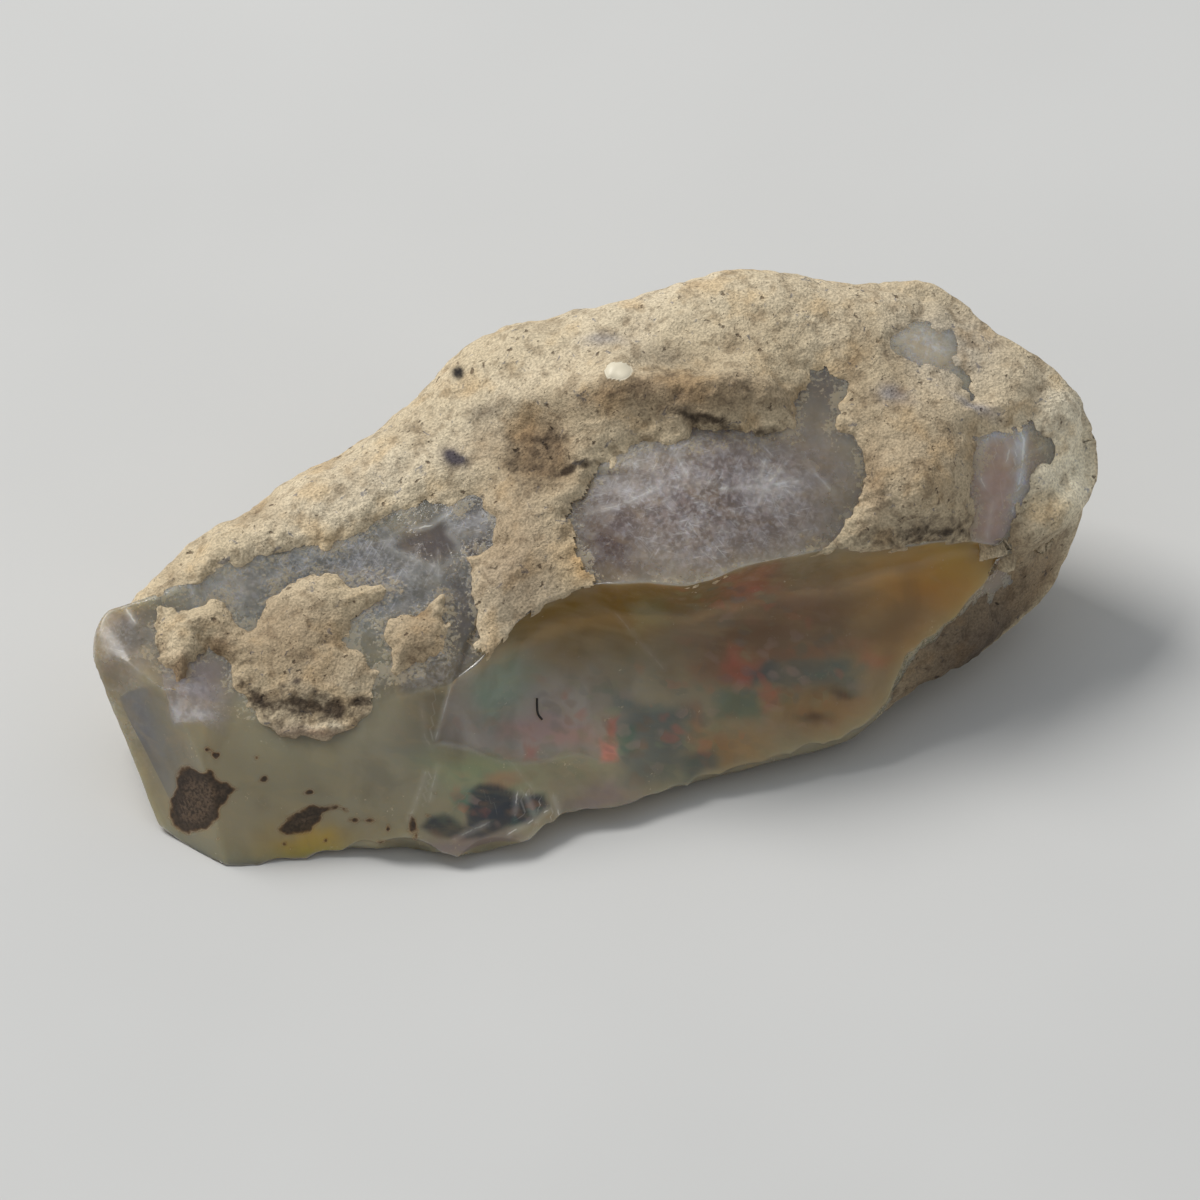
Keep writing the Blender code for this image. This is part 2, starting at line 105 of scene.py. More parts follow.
# Depths of the hollow in the face
HOLLOW = [
    (-12, -0.25), (-6.5, -0.25), (-4.8, 0.3), (-2.5, 1), (3, 1.2), (7.5, 0.8), (9.6, 0.15),
    (10.5, -0.3), (13, -0.3),
]
# Planes that cut the left end, as (direction, distance)
LEFT_BREAK = ((-0.85, -0.5, 0.17), 10.07)
UNDERCUT = ((-0.955, 0.1245, -0.269), 11.17)
# Balls that chip the lower edge, as (x, y, z, radius)
CHIPS = [(-4.7, -6.2, 0.0, 2.15), (-7.1, -4.6, -0.3, 1.7), (0.2, -5.4, -0.4, 1.4)]
SMALL_CHIPS = [
    (-3.5, -5.5, 0.9, 1.0), (-2.4, -5.15, 0.4, 1.05), (-5.5, -5.1, 0.9, 0.95), (3.9, -5.3, 0.6, 0.95),
    (2.0, -5.1, 0.9, 0.9), (-8.4, -3.6, -0.1, 0.95),
]
BITE_DEPTH = 0.3          # of the small shell-shaped bites along the sharp edges
BITE_LENGTH = 0.75
LOWER_BITES = (3.7, (0.7, 0.5))      # seed, and how far a bite goes back and up
RIM_BITES = (8.2, (0.35, -0.3))
SHARP = 0.22              # over which the corners of a sharp edge are rounded
CALM = 1.6                # over which they are rounded away from the edges
CALM_POWER = 0.6          # below 1, the face is calm up to nearer its borders
FADE = 7                  # how soon a sharp edge becomes calm, per stretch

# ---------------------------------------------------------------- outlines on a sheet facing the break
SHEET_TURN = math.radians(22)
SHEET_TILT = math.radians(42)
IN_SIGHT = (-0.05, 0.12)  # how squarely a point faces the sheet where its outlines begin to hold
# Out of sight, the host rock covers what is higher and further back than this
BOND_HEIGHT = 0.7
BOND_FRONT = -1.5
# and the right end down to this height, but not the left end
RIGHT_COVER_FROM = 6.8
RIGHT_COVER_HEIGHT = 0.65
LEFT_COVER_TO = -10.9
MAIN_BARE = [
    (-13.1, 2.7), (-11.25, 2.8), (-10.65, 2.85), (-10.25, 3.1), (-9.7, 3.4), (-8.8, 3.6),
    (-8.3, 3.9), (-7.3, 4.2), (-6.6, 4.1), (-5.75, 4.45), (-5.3, 4.9), (-4.6, 5.15), (-2.8, 5.3),
    (-2.5, 4.8), (-2.55, 4.1), (-3.1, 3.8), (-3.1, 2.9), (-2.9, 2.35), (-2.8, 1.7), (-2.7, 1.2),
    (-2.1, 2), (-1.2, 2.7), (-0.35, 3), (0.15, 3.1), (1.15, 3.15), (2.4, 3.05), (3, 3.2),
    (3.65, 3.5), (4.9, 3.8), (6, 4), (7.65, 4), (8.65, 4.15), (9.3, 4.25), (9.8, 4.15), (10, 3.9),
    (9.85, 3.1), (9.2, 2.4), (8.45, 1.7), (7.95, 1.4), (7.8, 0.8), (7.45, 0.3), (7.15, -0.15),
    (7.65, -4.8), (-13.35, -4.8),
]
WINDOW_TOP = [
    (-0.7, 4.8), (-0.2, 5.45), (0.1, 6), (0.8, 6.4), (1.2, 6.7), (2.35, 6.7), (2.5, 7), (4.1, 6.9),
    (4.9, 7), (4.95, 7.6), (5.35, 8), (5.4, 8.5), (5.7, 8.6), (6.2, 8.3), (6.3, 7.9), (6.1, 7.6),
    (6, 7.1), (6.7, 6.6), (6.8, 6), (6.6, 5.2), (6.25, 4.65), (6, 4.3), (5.45, 3.9), (3.65, 3.4),
    (2.4, 2.9), (0.15, 2.9), (-0.2, 3.4), (-0.5, 4.1),
]
WINDOW_RIGHT = [
    (9.5, 6), (9.5, 6.7), (9.9, 6.85), (10.6, 7), (10.95, 7.2), (11.5, 6.6), (11.4, 6.15), (11, 6),
    (10.8, 5.8), (10.6, 5.1), (10.45, 4.2), (10.35, 3.2), (9.9, 2.6), (9.3, 3.2), (9.4, 4.2), (9.4, 5.2),
]
WINDOW_CREST = [
    (7.5, 9.15), (7.75, 9.55), (8.2, 9.65), (8.5, 9.45), (8.95, 9.5), (9.1, 9.1), (8.95, 8.8),
    (9.3, 8.45), (9.6, 8.0), (9.45, 7.85), (9.05, 8.2), (8.7, 8.45), (8.35, 8.6), (7.95, 8.65),
    (7.7, 8.85),
]
REMNANT_LARGE = [
    (-11, 2.2), (-10.8, 2.5), (-10.3, 2.55), (-9.85, 2.6), (-9.3, 2.75), (-9, 2.25), (-8.55, 2),
    (-8.2, 2.6), (-7.9, 3.1), (-7.35, 3.35), (-6.6, 3.4), (-6.3, 3.15), (-5.55, 3.1), (-5.2, 3),
    (-5.2, 2.65), (-5.75, 2.6), (-6.1, 2.25), (-6.2, 1.8), (-5.9, 1.4), (-5.4, 0.9), (-5.55, 0.2),
    (-5.6, -0.05), (-6, -0.4), (-6.55, -0.7), (-6.95, -0.8), (-7.6, -0.7), (-8.3, -0.4),
    (-8.8, 0.35), (-9.1, 1.15), (-9.3, 1.4), (-9.65, 1.55), (-9.9, 1.25), (-10.2, 0.9),
    (-10.4, 0.75), (-10.85, 1.2), (-10.95, 1.7),
]
REMNANT_SMALL = [
    (-5.15, 2.2), (-4.6, 2.4), (-4.2, 2.5), (-3.85, 2.75), (-3.65, 2.65), (-3.6, 1.55),
    (-3.65, 1.35), (-4.2, 1.2), (-4.6, 1.15), (-4.9, 0.9), (-5.15, 0.95),
]
BARE = (MAIN_BARE, WINDOW_TOP, WINDOW_RIGHT, WINDOW_CREST)
REMNANTS = {"host_rock_island": REMNANT_LARGE, "host_rock_islet": REMNANT_SMALL}
# The scar of the big flake, a step below the face around it
FLAKE = [
    (-3.3, 1.6), (-3.6, 0.5), (-3.95, -0.7), (-4, -0.88), (-3.73, -0.87), (-3.1, -0.98),
    (-2.6, -1.2), (-2.1, -1.33), (-1.35, -1.33), (-0.85, -1.2), (-0.35, -1.08), (-0.05, -1.2),
    (0.3, -1.35), (3, -1.6), (9, 1), (9, 6), (-1, 6),
]
# Chips in the lower edge, seen through the opal behind it. Their dark blue is painted, standing for a dark
# ground seen through the thin opal.
CHIP_RIGHT = [
    (-3.1, -2.03), (-2.85, -1.85), (-2.35, -1.83), (-1.8, -2.15), (-1.23, -2.13), (-1.15, -2.4),
    (-1.6, -2.78), (-2.35, -3.03), (-2.85, -3.23), (-3.35, -3.23), (-3.2, -2.9), (-3.15, -2.4),
]
CHIP_LEFT = [
    (-4.35, -2.88), (-4.1, -2.65), (-3.73, -2.53), (-3.48, -2.65), (-3.2, -2.9), (-3.35, -3.2),
    (-3.85, -3.15),
]
CHIP_TEAL = [(-3.55, -2.1), (-3.05, -2), (-3.05, -2.5), (-3.4, -2.48)]
# Smooth spots between the worn ones on the shelf behind the face
SMOOTH_LEFT = [
    (-5, 4.05), (-4.55, 4.48), (-3.85, 4.73), (-3.68, 4.48), (-3.48, 4.1), (-3.6, 3.83),
    (-3.85, 3.6), (-4.35, 3.73), (-4.85, 3.98),
]
SMOOTH_RIGHT = [(-3.3, 4.1), (-2.75, 4.23), (-2.65, 3.98), (-2.98, 3.75), (-3.22, 3.9)]
WORN_CORNER = [
    (-10.85, 1.15), (-10.62, 0.4), (-10.42, -0.3), (-9.85, -0.28), (-9.2, -0.62), (-8.9, 0.3),
    (-9.2, 1.3),
]
STAIN_LEFT = [
    (-10.3, -1.35), (-9.85, -1.48), (-9.53, -1.45), (-9.28, -1.73), (-8.78, -1.93), (-9.03, -2.2),
    (-9.23, -2.4), (-9.3, -2.73), (-9.65, -3.03), (-10.1, -3.13), (-10.5, -2.98), (-10.65, -2.65),
    (-10.65, -2.2), (-10.43, -1.95), (-10.4, -1.58),
]
STAIN_MIDDLE = [
    (-7.88, -2.98), (-7.6, -2.66), (-7.3, -2.46), (-6.95, -2.34), (-6.6, -2.33), (-6.2, -2.41),
    (-5.92, -2.58), (-6.2, -2.53), (-6.5, -2.51), (-6.72, -2.6), (-6.86, -2.8), (-7.02, -3.08),
    (-7.3, -3.16), (-7.6, -3.1),
]
STAINS = (STAIN_LEFT, STAIN_MIDDLE)

# Swells and pits of the host rock on the sheet, as (across, up, half width, half height, rise)
SWELLS = [
    (-1.0, 7.6, 1.2, 0.5, 0.25), (1.2, 7.7, 1.4, 0.5, 0.4), (3.3, 7.7, 1.8, 0.45, 0.6),
    (-1.3, 6.6, 0.6, 0.8, -0.35), (-0.6, 5.7, 0.5, 0.5, -0.3), (8.0, 5.5, 1.2, 0.8, 0.45),
    (-7.2, 1.2, 1.4, 1.1, 0.05), (-7.3, 0.2, 1.3, 0.4, 0.3), (-10.2, 1.7, 0.6, 0.6, 0.1),
    (-7.2, 0.05, 1.6, 0.3, -0.25),
    (0.7, 8.35, 0.4, 0.3, 0.2), (-2.2, 4.9, 0.6, 0.8, 0.2), (11.0, 7.6, 0.35, 0.9, -0.3),
    (11.9, 7.6, 0.7, 1.0, 0.2), (9.6, 8.0, 0.9, 0.9, 0.2), (3.7, 10.4, 1.6, 0.5, 0.25),
    (9.6, 10.1, 0.7, 0.6, 0.4), (-10.6, 3.2, 0.8, 0.5, -0.15), (11, 3.2, 1.2, 1.5, -0.2),
]
# Where the host rock ends in a steep wall, as (across, up, half width, half height, amount)
WALLS = [
    (3.0, 7.0, 2.6, 0.6, 1), (-0.5, 5.9, 0.7, 0.7, 1), (8.0, 4.4, 1.6, 0.5, 1),
    (-7.2, -0.4, 1.7, 0.6, 1), (6.9, 5.6, 0.4, 1.2, 1), (-10.3, 1.0, 0.6, 0.4, 1),
]
# Where the host rock is worn thin, as (across, up, half width, half height, amount)
THIN = [(8.4, 8.9, 1.6, 1.3, 0.75), (10.2, 6.9, 0.9, 0.4, 0.6), (-3.4, 5.3, 1.6, 0.5, 0.4)]
# Smooth white beads set in the host rock, as (across, up, radius)
BEADS = [(0.6, 8.08, 0.22), (0.8, 8.07, 0.25)]
BEAD_RISE = 0.14
# Painted shade in the recesses and cracks and under the ledges of the host rock, as (across, up, half width,
# half height, turn, depth)
PAINTED_SHADE_SPOTS = [
    (-1.95, 6.2, 0.35, 0.8, 15, 0.9), (-1.2, 6.7, 0.9, 0.32, 5, 0.85), (-1.7, 5.4, 0.35, 0.45, 0, 0.6),
    (-1.3, 6.2, 0.9, 0.7, 0, 0.8), (-0.6, 5.9, 0.8, 0.13, 20, 1.3), (2.7, 7.1, 1.1, 0.1, -10, 1.3),
    (4.1, 6.85, 0.9, 0.1, 8, 1.1), (2.6, 7.6, 2.8, 0.5, 5, 0.55), (1.0, 7.7, 1.3, 0.3, 15, 0.65),
    (8.1, 4.4, 2.0, 0.5, 5, 1.0), (8.7, 4.45, 0.8, 0.18, 8, 1.3), (7.1, 4.2, 0.6, 0.2, 0, 0.9),
    (-7.1, 0.03, 1.7, 0.42, 0, 1.2), (-8.35, 0.22, 0.6, 0.2, -38, 1.55), (-7.3, 0.12, 0.95, 0.17, 0, 1.5),
    (-6.45, 0.0, 0.45, 0.32, 0, 1.7), (-5.85, 0.18, 0.45, 0.17, 8, 1.45),
    (-8.8, 0.58, 0.16, 0.2, 20, 1.1), (-7.78, 0.5, 0.14, 0.1, 10, 0.9),
    (-10.88, 1.45, 0.12, 0.4, 0, 1.0), (6.9, 5.6, 0.25, 1.2, 0, 0.45), (7.3, 8.9, 0.16, 0.6, 25, 0.6),
    (9.1, 9.3, 0.25, 0.3, 0, 0.6), (11.15, 6.9, 0.3, 0.15, -40, 0.9), (7.9, 6.0, 0.5, 0.4, 0, 0.4),
    (-4.2, 1.7, 0.3, 0.3, 0, 0.4),
]
# Layers of smooth noise, as (height, size, seed)
ROCK_LUMPS = [(0.1, 1.5, 10), (0.06, 0.7, 11), (0.03, 0.3, 12), (0.018, 0.15, 13)]
UNEVEN_BORDER = [(0.35, 1.1, 7), (0.12, 0.4, 8)]
CRUMBS = [(0.1, 0.5, 15), (0.12, 0.22, 16)]
WORN_WAVES = [(0.05, 1.8, 4), (0.02, 0.6, 6)]
PIT_REACH = 0.45          # of a pit, as a share of the size of its cell
RIM_WEAR = 0.6            # share of the host rock's thickness that is lost along the rim
DEEPEST_BORDER = 0.12     # how far the host rock's skin dips into the opal past its border
STRUCK_AT = (5.5, 5.0)    # on the sheet, where the blow fell that broke the face
SHELL_RISE = 0.018        # of the waves in the face round that place
SHELL_TURN = 5.2          # of those waves, in radians a millimetre
FLAKE_DEPTH = 0.11
RIM_HIGHLIGHT_WIDTH = 0.09          # of the painted highlight along the rim
# The stray fibre on the sheet, how thick it is, and how far its middle lies above the face
FIBRE = [(-1.43, 0.28), (-1.43, 0.1), (-1.4, -0.12), (-1.3, -0.26)]
FIBRE_RADIUS = 0.028
FIBRE_LIFT = 0.02
RAY_START = 100           # how far in front of the stone a look for its surface starts
SCRATCH_END = 0.16        # length over which a scratch fades past its end
HAIR_ANGLES = (12, 62, -48, -15)     # of the fine hairlike scratches, in degrees
HAIR_STRETCH = (1.8, 26, 1.5)
# Scratches and hairline cracks in the opal, and one painted glint on the knob, as (strength, places on the
# sheet)
SCRATCHES_AND_GLINT = [
    (0.8, [(-3.55, 0.6), (-3.65, 0.25), (-3.93, -0.65)]),
    (0.3, [(-4.3, 0.1), (-4.23, -0.7), (-4.05, -0.95)]),
    (0.25, [(-2.3, -1.1), (-1.95, -1.5), (-1.55, -2.0)]),
    (0.3, [(0.6, 2.33), (1.75, 1.0)]),
    (0.9, [(-10.1, 3.2), (-9.8, 2.45)]),
    (0.7, [(-9.9, 3.3), (-9.1, 2.9)]),
    # a painted glint on the knob, drawn as a white scratch
    (1.5, [(-11.65, 2.5), (-11.45, 2.2)]),
    (0.4, [(1.4, 5.43), (2.6, 5.6), (3.9, 5.5)]),
    (1.1, [(4.25, 6.15), (4.15, 5.85), (4.35, 5.62)]),
    (1.6, [(4.6, 5.95), (4.3, 5.6), (4.1, 5.2)]),
    (1.3, [(3.2, 5.48), (4.3, 5.58), (5.0, 5.7)]),
    (0.8, [(-0.2, 4.9), (0.9, 5.2), (1.6, 5.6)]),
    (0.7, [(0.2, 6.3), (1.2, 6.1)]),
    (0.7, [(1.9, 6.6), (2.3, 5.9)]),
    (0.7, [(5.4, 6.0), (6.0, 5.4)]),
    (0.6, [(2.6, 4.7), (3.5, 4.4)]),
    (0.9, [(7.6, 9.3), (8.6, 8.75)]),
    (0.8, [(8.0, 9.6), (9.1, 8.8)]),
    (0.7, [(8.3, 8.7), (8.9, 9.3)]),
    (0.6, [(4.3, 5.6), (4.9, 5.4)]),
    (0.9, [(0.6, 6.4), (0.1, 5.95), (-0.3, 5.5)]),
    (0.6, [(-0.3, 5.4), (-0.75, 4.95)]),
    (1.3, [(-4.5, 4.5), (-4.1, 4.6), (-3.8, 4.8), (-3.65, 4.9)]),
    (0.7, [(-5.05, 4.0), (-4.4, 3.7), (-3.85, 3.5)]),
    (1.0, [(-3.65, 4.4), (-3.4, 4.1), (-3.15, 3.75), (-2.95, 3.6)]),
    (0.6, [(-3.9, 3.9), (-3.85, 2.9)]),
    (2.0, [(10.65, 7.0), (10.75, 6.75), (10.7, 6.2)]),
    (1.8, [(10.72, 6.3), (10.62, 5.7), (10.48, 5.0)]),
    (1.2, [(9.8, 6.7), (9.6, 6.3)]),
    (1.0, [(10.2, 6.85), (10.4, 6.5), (10.3, 6.15)]),
    (0.9, [(9.6, 5.9), (9.75, 5.6)]),
    (0.9, [(9.95, 5.1), (9.85, 4.4)]),
    (0.8, [(10.9, 6.4), (11.3, 6.6)]),
    (1.0, [(-1.93, -2.1), (-1.98, -2.55)]),
    (1.1, [(-1.7, -2.15), (-1.45, -2.75)]),
    (1.0, [(-1.2, -2.5), (-2.1, -3.1)]),
    (0.9, [(-1.0, -2.2), (-0.9, -2.6)]),
    (0.8, [(-3.5, -3.2), (-2.7, -2.85)]),
    (0.6, [(-4.6, -2.7), (-4.2, -1.6)]),
    (0.5, [(-4.1, -2.2), (-3.9, -1.4)]),
    (0.5, [(-2.2, -3.6), (-1.3, -3.0)]),
    (0.35, [(-12.2, 1.6), (-11.5, 1.3), (-10.9, 1.5)]),
]

# ---------------------------------------------------------------- colours
def srgb(*levels):
    """A linear colour from 0 to 255 screen levels."""
    return tuple((level / 255) ** 2.2 for level in levels)


HONEY = srgb(190, 168, 122)
OLIVE_HONEY = srgb(180, 170, 140)
UNDER_RIM = srgb(155, 121, 58)
UMBER = srgb(156, 120, 92)
MIST = srgb(220, 208, 200)
ROSE = srgb(212, 178, 172)
TEAL = srgb(118, 142, 138)
DEEP_TEAL = srgb(95, 110, 112)
GREEN = srgb(170, 182, 140)
AMBER = srgb(218, 162, 84)
PALE_HONEY = srgb(190, 150, 100)
RED = srgb(230, 126, 102)
FLAME = srgb(246, 170, 150)
SEA_GREEN = srgb(160, 190, 164)
BLUE_BLACK = srgb(46, 58, 76)
BLUE_GREY = srgb(62, 72, 80)
GOLD = srgb(224, 182, 78)
FACET = srgb(126, 128, 138)
GREY_OLIVE = srgb(162, 160, 146)
DEEP_UMBER = srgb(134, 96, 56)
KNOB_PAINTED_SHADE = srgb(122, 114, 102)
WHITE_VEIL = srgb(226, 222, 222)
MAUVE = srgb(148, 134, 132)
PALE_MAUVE = srgb(168, 159, 162)
BROWN_MAUVE = srgb(108, 90, 86)
KNOB = srgb(176, 162, 146)
ROSE_MAUVE = srgb(210, 178, 164)
SLATE = srgb(120, 122, 123)
DARK_MAUVE = srgb(108, 100, 100)
RUSSET = srgb(190, 130, 96)
SEA_TEAL = srgb(104, 142, 122)
SAND_GREY = srgb(206, 190, 166)
SMEAR = srgb(118, 110, 96)
STRIP = srgb(102, 98, 96)
LOW_LIP = srgb(164, 148, 148)
BROWN_SPOT = srgb(110, 84, 62)
PALE_LAYER = srgb(212, 184, 132)
DARK_CLOUD = srgb(112, 98, 72)
FROST_WHITE = srgb(206, 204, 208)
HAIR_WHITE = srgb(232, 230, 230)
LINE_WHITE = srgb(232, 230, 224)
RIM_HIGHLIGHT_WHITE = srgb(220, 214, 200)
DUST = srgb(178, 162, 134)
RUST = srgb(122, 86, 48)
DARK_RUST = srgb(40, 24, 14)
WORN_RUST = srgb(102, 82, 66)
FIBRE_SHADES = (srgb(36, 32, 30), srgb(64, 56, 50))
FLOOR_GREYS = ((0.60, 0.60, 0.59), (0.63, 0.63, 0.62))
FIRE_COLOURS = (TEAL, RUSSET, SEA_TEAL, UMBER, RED, DEEP_TEAL, GREEN, ROSE_MAUVE)

# Patches of colour in the opal on the sheet, as
# (across, up, half width, half height, turn, colour, strength)
FACE_PATCHES = [
    (-11.2, -0.5, 0.8, 2.1, 14, FACET, 0.75),
    (-4.85, -1.3, 1.2, 0.9, 0, GREY_OLIVE, 0.7),
    (0.3, 2.4, 3.5, 1.1, 10, UNDER_RIM, 1.15),
    (3.4, 1.5, 1.4, 0.9, 0, UMBER, 0.9),
    (4.4, 2.4, 1.5, 0.8, 5, DEEP_UMBER, 0.95),
    (-0.4, 0.0, 1.5, 0.8, 0, MIST, 0.45),
    (-1.2, -0.5, 1.4, 0.4, -8, ROSE, 0.75),
    (-2.2, 0.75, 0.8, 0.5, 20, SEA_GREEN, 0.5),
    (3.4, -1.0, 1.0, 0.6, 0, PALE_HONEY, 0.8),
    (-3.0, -1.6, 1.4, 0.5, -10, GREEN, 0.8),
    (0.05, -2.25, 1.1, 0.35, 8, LOW_LIP, 0.9),
    (5.6, 2.4, 1.4, 1.0, 0, UMBER, 0.9),
    (8.3, 3.15, 2.0, 1.1, 5, AMBER, 1.0),
    (9.1, 3.65, 0.8, 0.5, 10, GOLD, 0.6),
    (5.6, 0.0, 1.5, 0.7, 10, PALE_HONEY, 0.9),
    (7.6, 1.7, 1.1, 0.9, 20, PALE_HONEY, 0.9),
    (6.2, 0.42, 0.28, 0.14, 0, BROWN_SPOT, 0.8),
    (5.55, -0.25, 0.32, 0.14, 0, BROWN_SPOT, 0.8),
    (-2.5, 0.25, 0.6, 0.6, 0, SEA_GREEN, 0.7),
    (-3.4, -3.45, 2.0, 0.35, 5, LOW_LIP, 0.9),
    # the opal's own gold, with a painted glow of light through the thin lower left edge
    (-7.1, -3.5, 1.1, 0.55, 0, GOLD, 0.95),
    (-4.1, -0.1, 0.9, 1.2, 0, SMEAR, 0.5),
]
# Patches with a border of their own, as
# (colour, added frost, strength, width of the border, where it is strongest, outline)
SHAPED_PATCHES = [
    # painted dark of the ground seen through the two thin chips
    (BLUE_BLACK, 0.0, 0.9, 0.09, (-2.2, -2.4, 3.0, 2.0), CHIP_RIGHT),
    (BLUE_GREY, 0.0, 0.9, 0.1, (-3.8, -2.85, 1.6, 1.0), CHIP_LEFT),
    (SEA_TEAL, 0.0, 0.8, 0.14, (-3.3, -2.25, 0.5, 0.5), CHIP_TEAL),
    (DARK_MAUVE, -0.6, 0.9, 0.2, (-4.2, 4.1, 2.0, 2.0), SMOOTH_LEFT),
    (DARK_MAUVE, -0.6, 0.9, 0.2, (-3, 4, 2.0, 2.0), SMOOTH_RIGHT),
    (PALE_MAUVE, 0.9, 0.85, 0.08, (-10.3, 0.1, 1.0, 0.9), WORN_CORNER),
    (WHITE_VEIL, 0.5, 0.6, 0.15, (-10.1, -0.15, 0.5, 0.25), WORN_CORNER),
]
# The flake's own patch, under all the others
FLAKE_PATCH = (0.9, 0.08, (-2.6, -0.2, 2.6, 1.8), FLAKE)
# Flashes of the play of colour, four-sided, as
# (across, up, half width, half height, turn, colour, strength)
FLASHES = [
    (1.5, -0.4, 0.85, 0.5, -8, DEEP_TEAL, 0.7),
    (1.5, -1.3, 0.7, 0.42, 5, DEEP_TEAL, 0.6),
    (2.6, -1.4, 0.45, 0.26, 15, DEEP_TEAL, 0.64),
    (0.95, -0.72, 0.22, 0.24, 0, SEA_TEAL, 0.64),
    (0.62, 0.3, 0.22, 0.34, 0, TEAL, 0.4),
    (2.55, -0.33, 0.2, 0.42, 12, RUSSET, 0.4),
    (3.7, 0.12, 0.52, 0.34, -12, SEA_TEAL, 0.52),
    (4.42, 0.22, 0.27, 0.24, 10, RED, 0.4),
    (4.25, 0.88, 0.42, 0.3, 18, DEEP_TEAL, 0.68),
    (5.42, 0.85, 0.64, 0.42, -10, DEEP_TEAL, 0.5),
    (5.4, 1.48, 1.25, 0.14, 4, RUSSET, 0.32),
    (3.7, 1.05, 0.4, 0.36, -24, RED, 0.6),
    (3.9, 3.15, 0.62, 0.36, 18, RED, 0.38),
    (1.35, 2.4, 0.42, 0.3, 10, GREEN, 0.28),
    (2.9, 0.95, 0.5, 0.3, 5, RUSSET, 0.24),
    (-0.6, -0.72, 0.5, 0.2, 5, FLAME, 0.24),
    (-1.95, -0.62, 0.4, 0.22, -5, FLAME, 0.22),
    (-1.5, -1.07, 0.2, 0.14, 0, RED, 0.44),
    (0.5, -0.6, 0.12, 0.3, 0, RED, 0.55),
    (0.37, -1.05, 0.24, 0.2, 4, FLAME, 1.1),
    (-2.3, -1.75, 0.35, 0.14, 0, RED, 0.3),
    (6.2, 0.9, 0.5, 0.3, -20, TEAL, 0.5),
    (7.0, 1.25, 0.35, 0.2, -15, RED, 0.3),
]
TOP_PATCHES = [
    (-11.7, 1.6, 0.8, 1.0, 0, KNOB, 0.9),
    # painted shade over the knob's facet that faces the light, and over its dark wedge
    (-11.6, 1.8, 0.5, 0.75, -25, KNOB_PAINTED_SHADE, 0.95),
    (-6.6, 3.4, 3.8, 1.6, 15, SLATE, 1.0),
    (-4.6, 2.6, 1.4, 1.0, 0, SLATE, 0.9),
    (-9.3, 2.9, 1.0, 0.5, 25, WHITE_VEIL, 0.35),
    (-3.0, 4.7, 1.2, 1.2, 0, SLATE, 1.0),
    (-5.8, 3.2, 1.1, 0.5, 20, STRIP, 0.75),
    (-2.8, 5.0, 0.8, 0.6, 0, STRIP, 0.75),
    (-3.3, 2.3, 0.5, 1.3, 0, STRIP, 1.1),
    (-4.1, 1.0, 1.4, 0.7, 10, SMEAR, 1.2),
    (-9.75, 0.8, 0.9, 0.9, 0, MAUVE, 0.9),
    (3.2, 5.4, 4.2, 2.6, 5, MAUVE, 1.0),
    (0.4, 4.4, 1.0, 1.6, 0, BROWN_MAUVE, 1.0),
    (-0.6, 5.6, 0.5, 0.5, 0, BROWN_MAUVE, 1.2),
    (5.8, 8.1, 0.8, 0.8, 0, DARK_MAUVE, 0.8),
    (10.2, 5.2, 1.2, 2.4, 0, ROSE_MAUVE, 1.0),
    (8.25, 9.0, 1.3, 1.3, 0, SAND_GREY, 1.3),
    (9.9, 4.4, 0.35, 0.6, 0, ROSE_MAUVE, 0.9),
    (10.74, 6.8, 0.16, 0.45, 5, WHITE_VEIL, 1.2),
    (10.62, 5.7, 0.13, 0.75, -8, WHITE_VEIL, 1.1),
    (10.0, 6.9, 0.8, 0.2, 10, WHITE_VEIL, 0.8),
    (4.3, 5.55, 0.9, 0.35, 0, WHITE_VEIL, 0.5),
    (1.2, 5.6, 1.5, 0.3, 5, WHITE_VEIL, 0.3),
    (8.5, 9.15, 0.6, 0.14, -25, WHITE_VEIL, 0.7),
    (8.05, 8.85, 0.14, 0.4, 20, WHITE_VEIL, 0.5),
    (7.6, 9.2, 0.25, 0.5, 20, STRIP, 0.3),
    (-10.1, -0.15, 0.4, 0.2, 0, WHITE_VEIL, 0.6),
]
# Where the opal's skin is frosted, as (across, up, half width, half height, amount)
FROST = [
    (2.8, 5.2, 3.4, 2.0, 0.95), (-6.6, 3.4, 3.8, 1.6, 0.8), (-3.2, 4.7, 0.8, 0.8, 0.7),
    (-4.1, 1.0, 1.4, 0.7, 0.5), (-11.8, 1.9, 0.9, 0.9, 0.6), (-11.6, 0.0, 0.8, 1.6, 0.4),
    (10.2, 5.4, 1.0, 1.6, 0.3), (8.25, 9.0, 1.2, 1.2, 0.8),
]
# Where host rock dust lies further out on the bare opal, as (across, up, half width, half height, amount)
GRITTY = [(-6.5, 3.4, 3.0, 1.4, 0.4), (8.4, 9.0, 1.0, 1.0, 0.8), (3.0, 6.9, 2.0, 0.6, 0.5)]
# Where the finer play of colour shows, as (across, up, half width, half height, amount)
FIRE = [
    (0.6, -0.4, 3.4, 1.3, 1), (4.6, 0.9, 2.0, 1.2, 1), (-2.4, -2.4, 1.4, 0.7, 1), (3.4, 2.9, 1.4, 0.7, 1),
]
# Small rust dots in the opal, as (across, up, half width, half height)
RUST_DOTS = [
    (-9.62, -0.98, 0.12, 0.07), (-9.4, -1.12, 0.11, 0.1), (-8.4, -1.2, 0.08, 0.06),
    (-8.23, -1.7, 0.09, 0.08), (-7.1, -2.02, 0.11, 0.05), (-5.98, -2.75, 0.1, 0.07),
    (-5.62, -2.76, 0.08, 0.05), (-5.18, -2.95, 0.09, 0.12), (-5.28, -3.27, 0.14, 0.05),
    (-4.55, -2.85, 0.1, 0.2), (-4.42, -3.1, 0.07, 0.13), (-4.2, -2.62, 0.13, 0.07),
    (-7.7, -3.33, 0.04, 0.05), (-7.5, -3.46, 0.04, 0.07), (-6.7, -3.32, 0.06, 0.05),
    (-4.0, -2.05, 0.08, 0.06), (-9.35, -3.2, 0.07, 0.05),
]

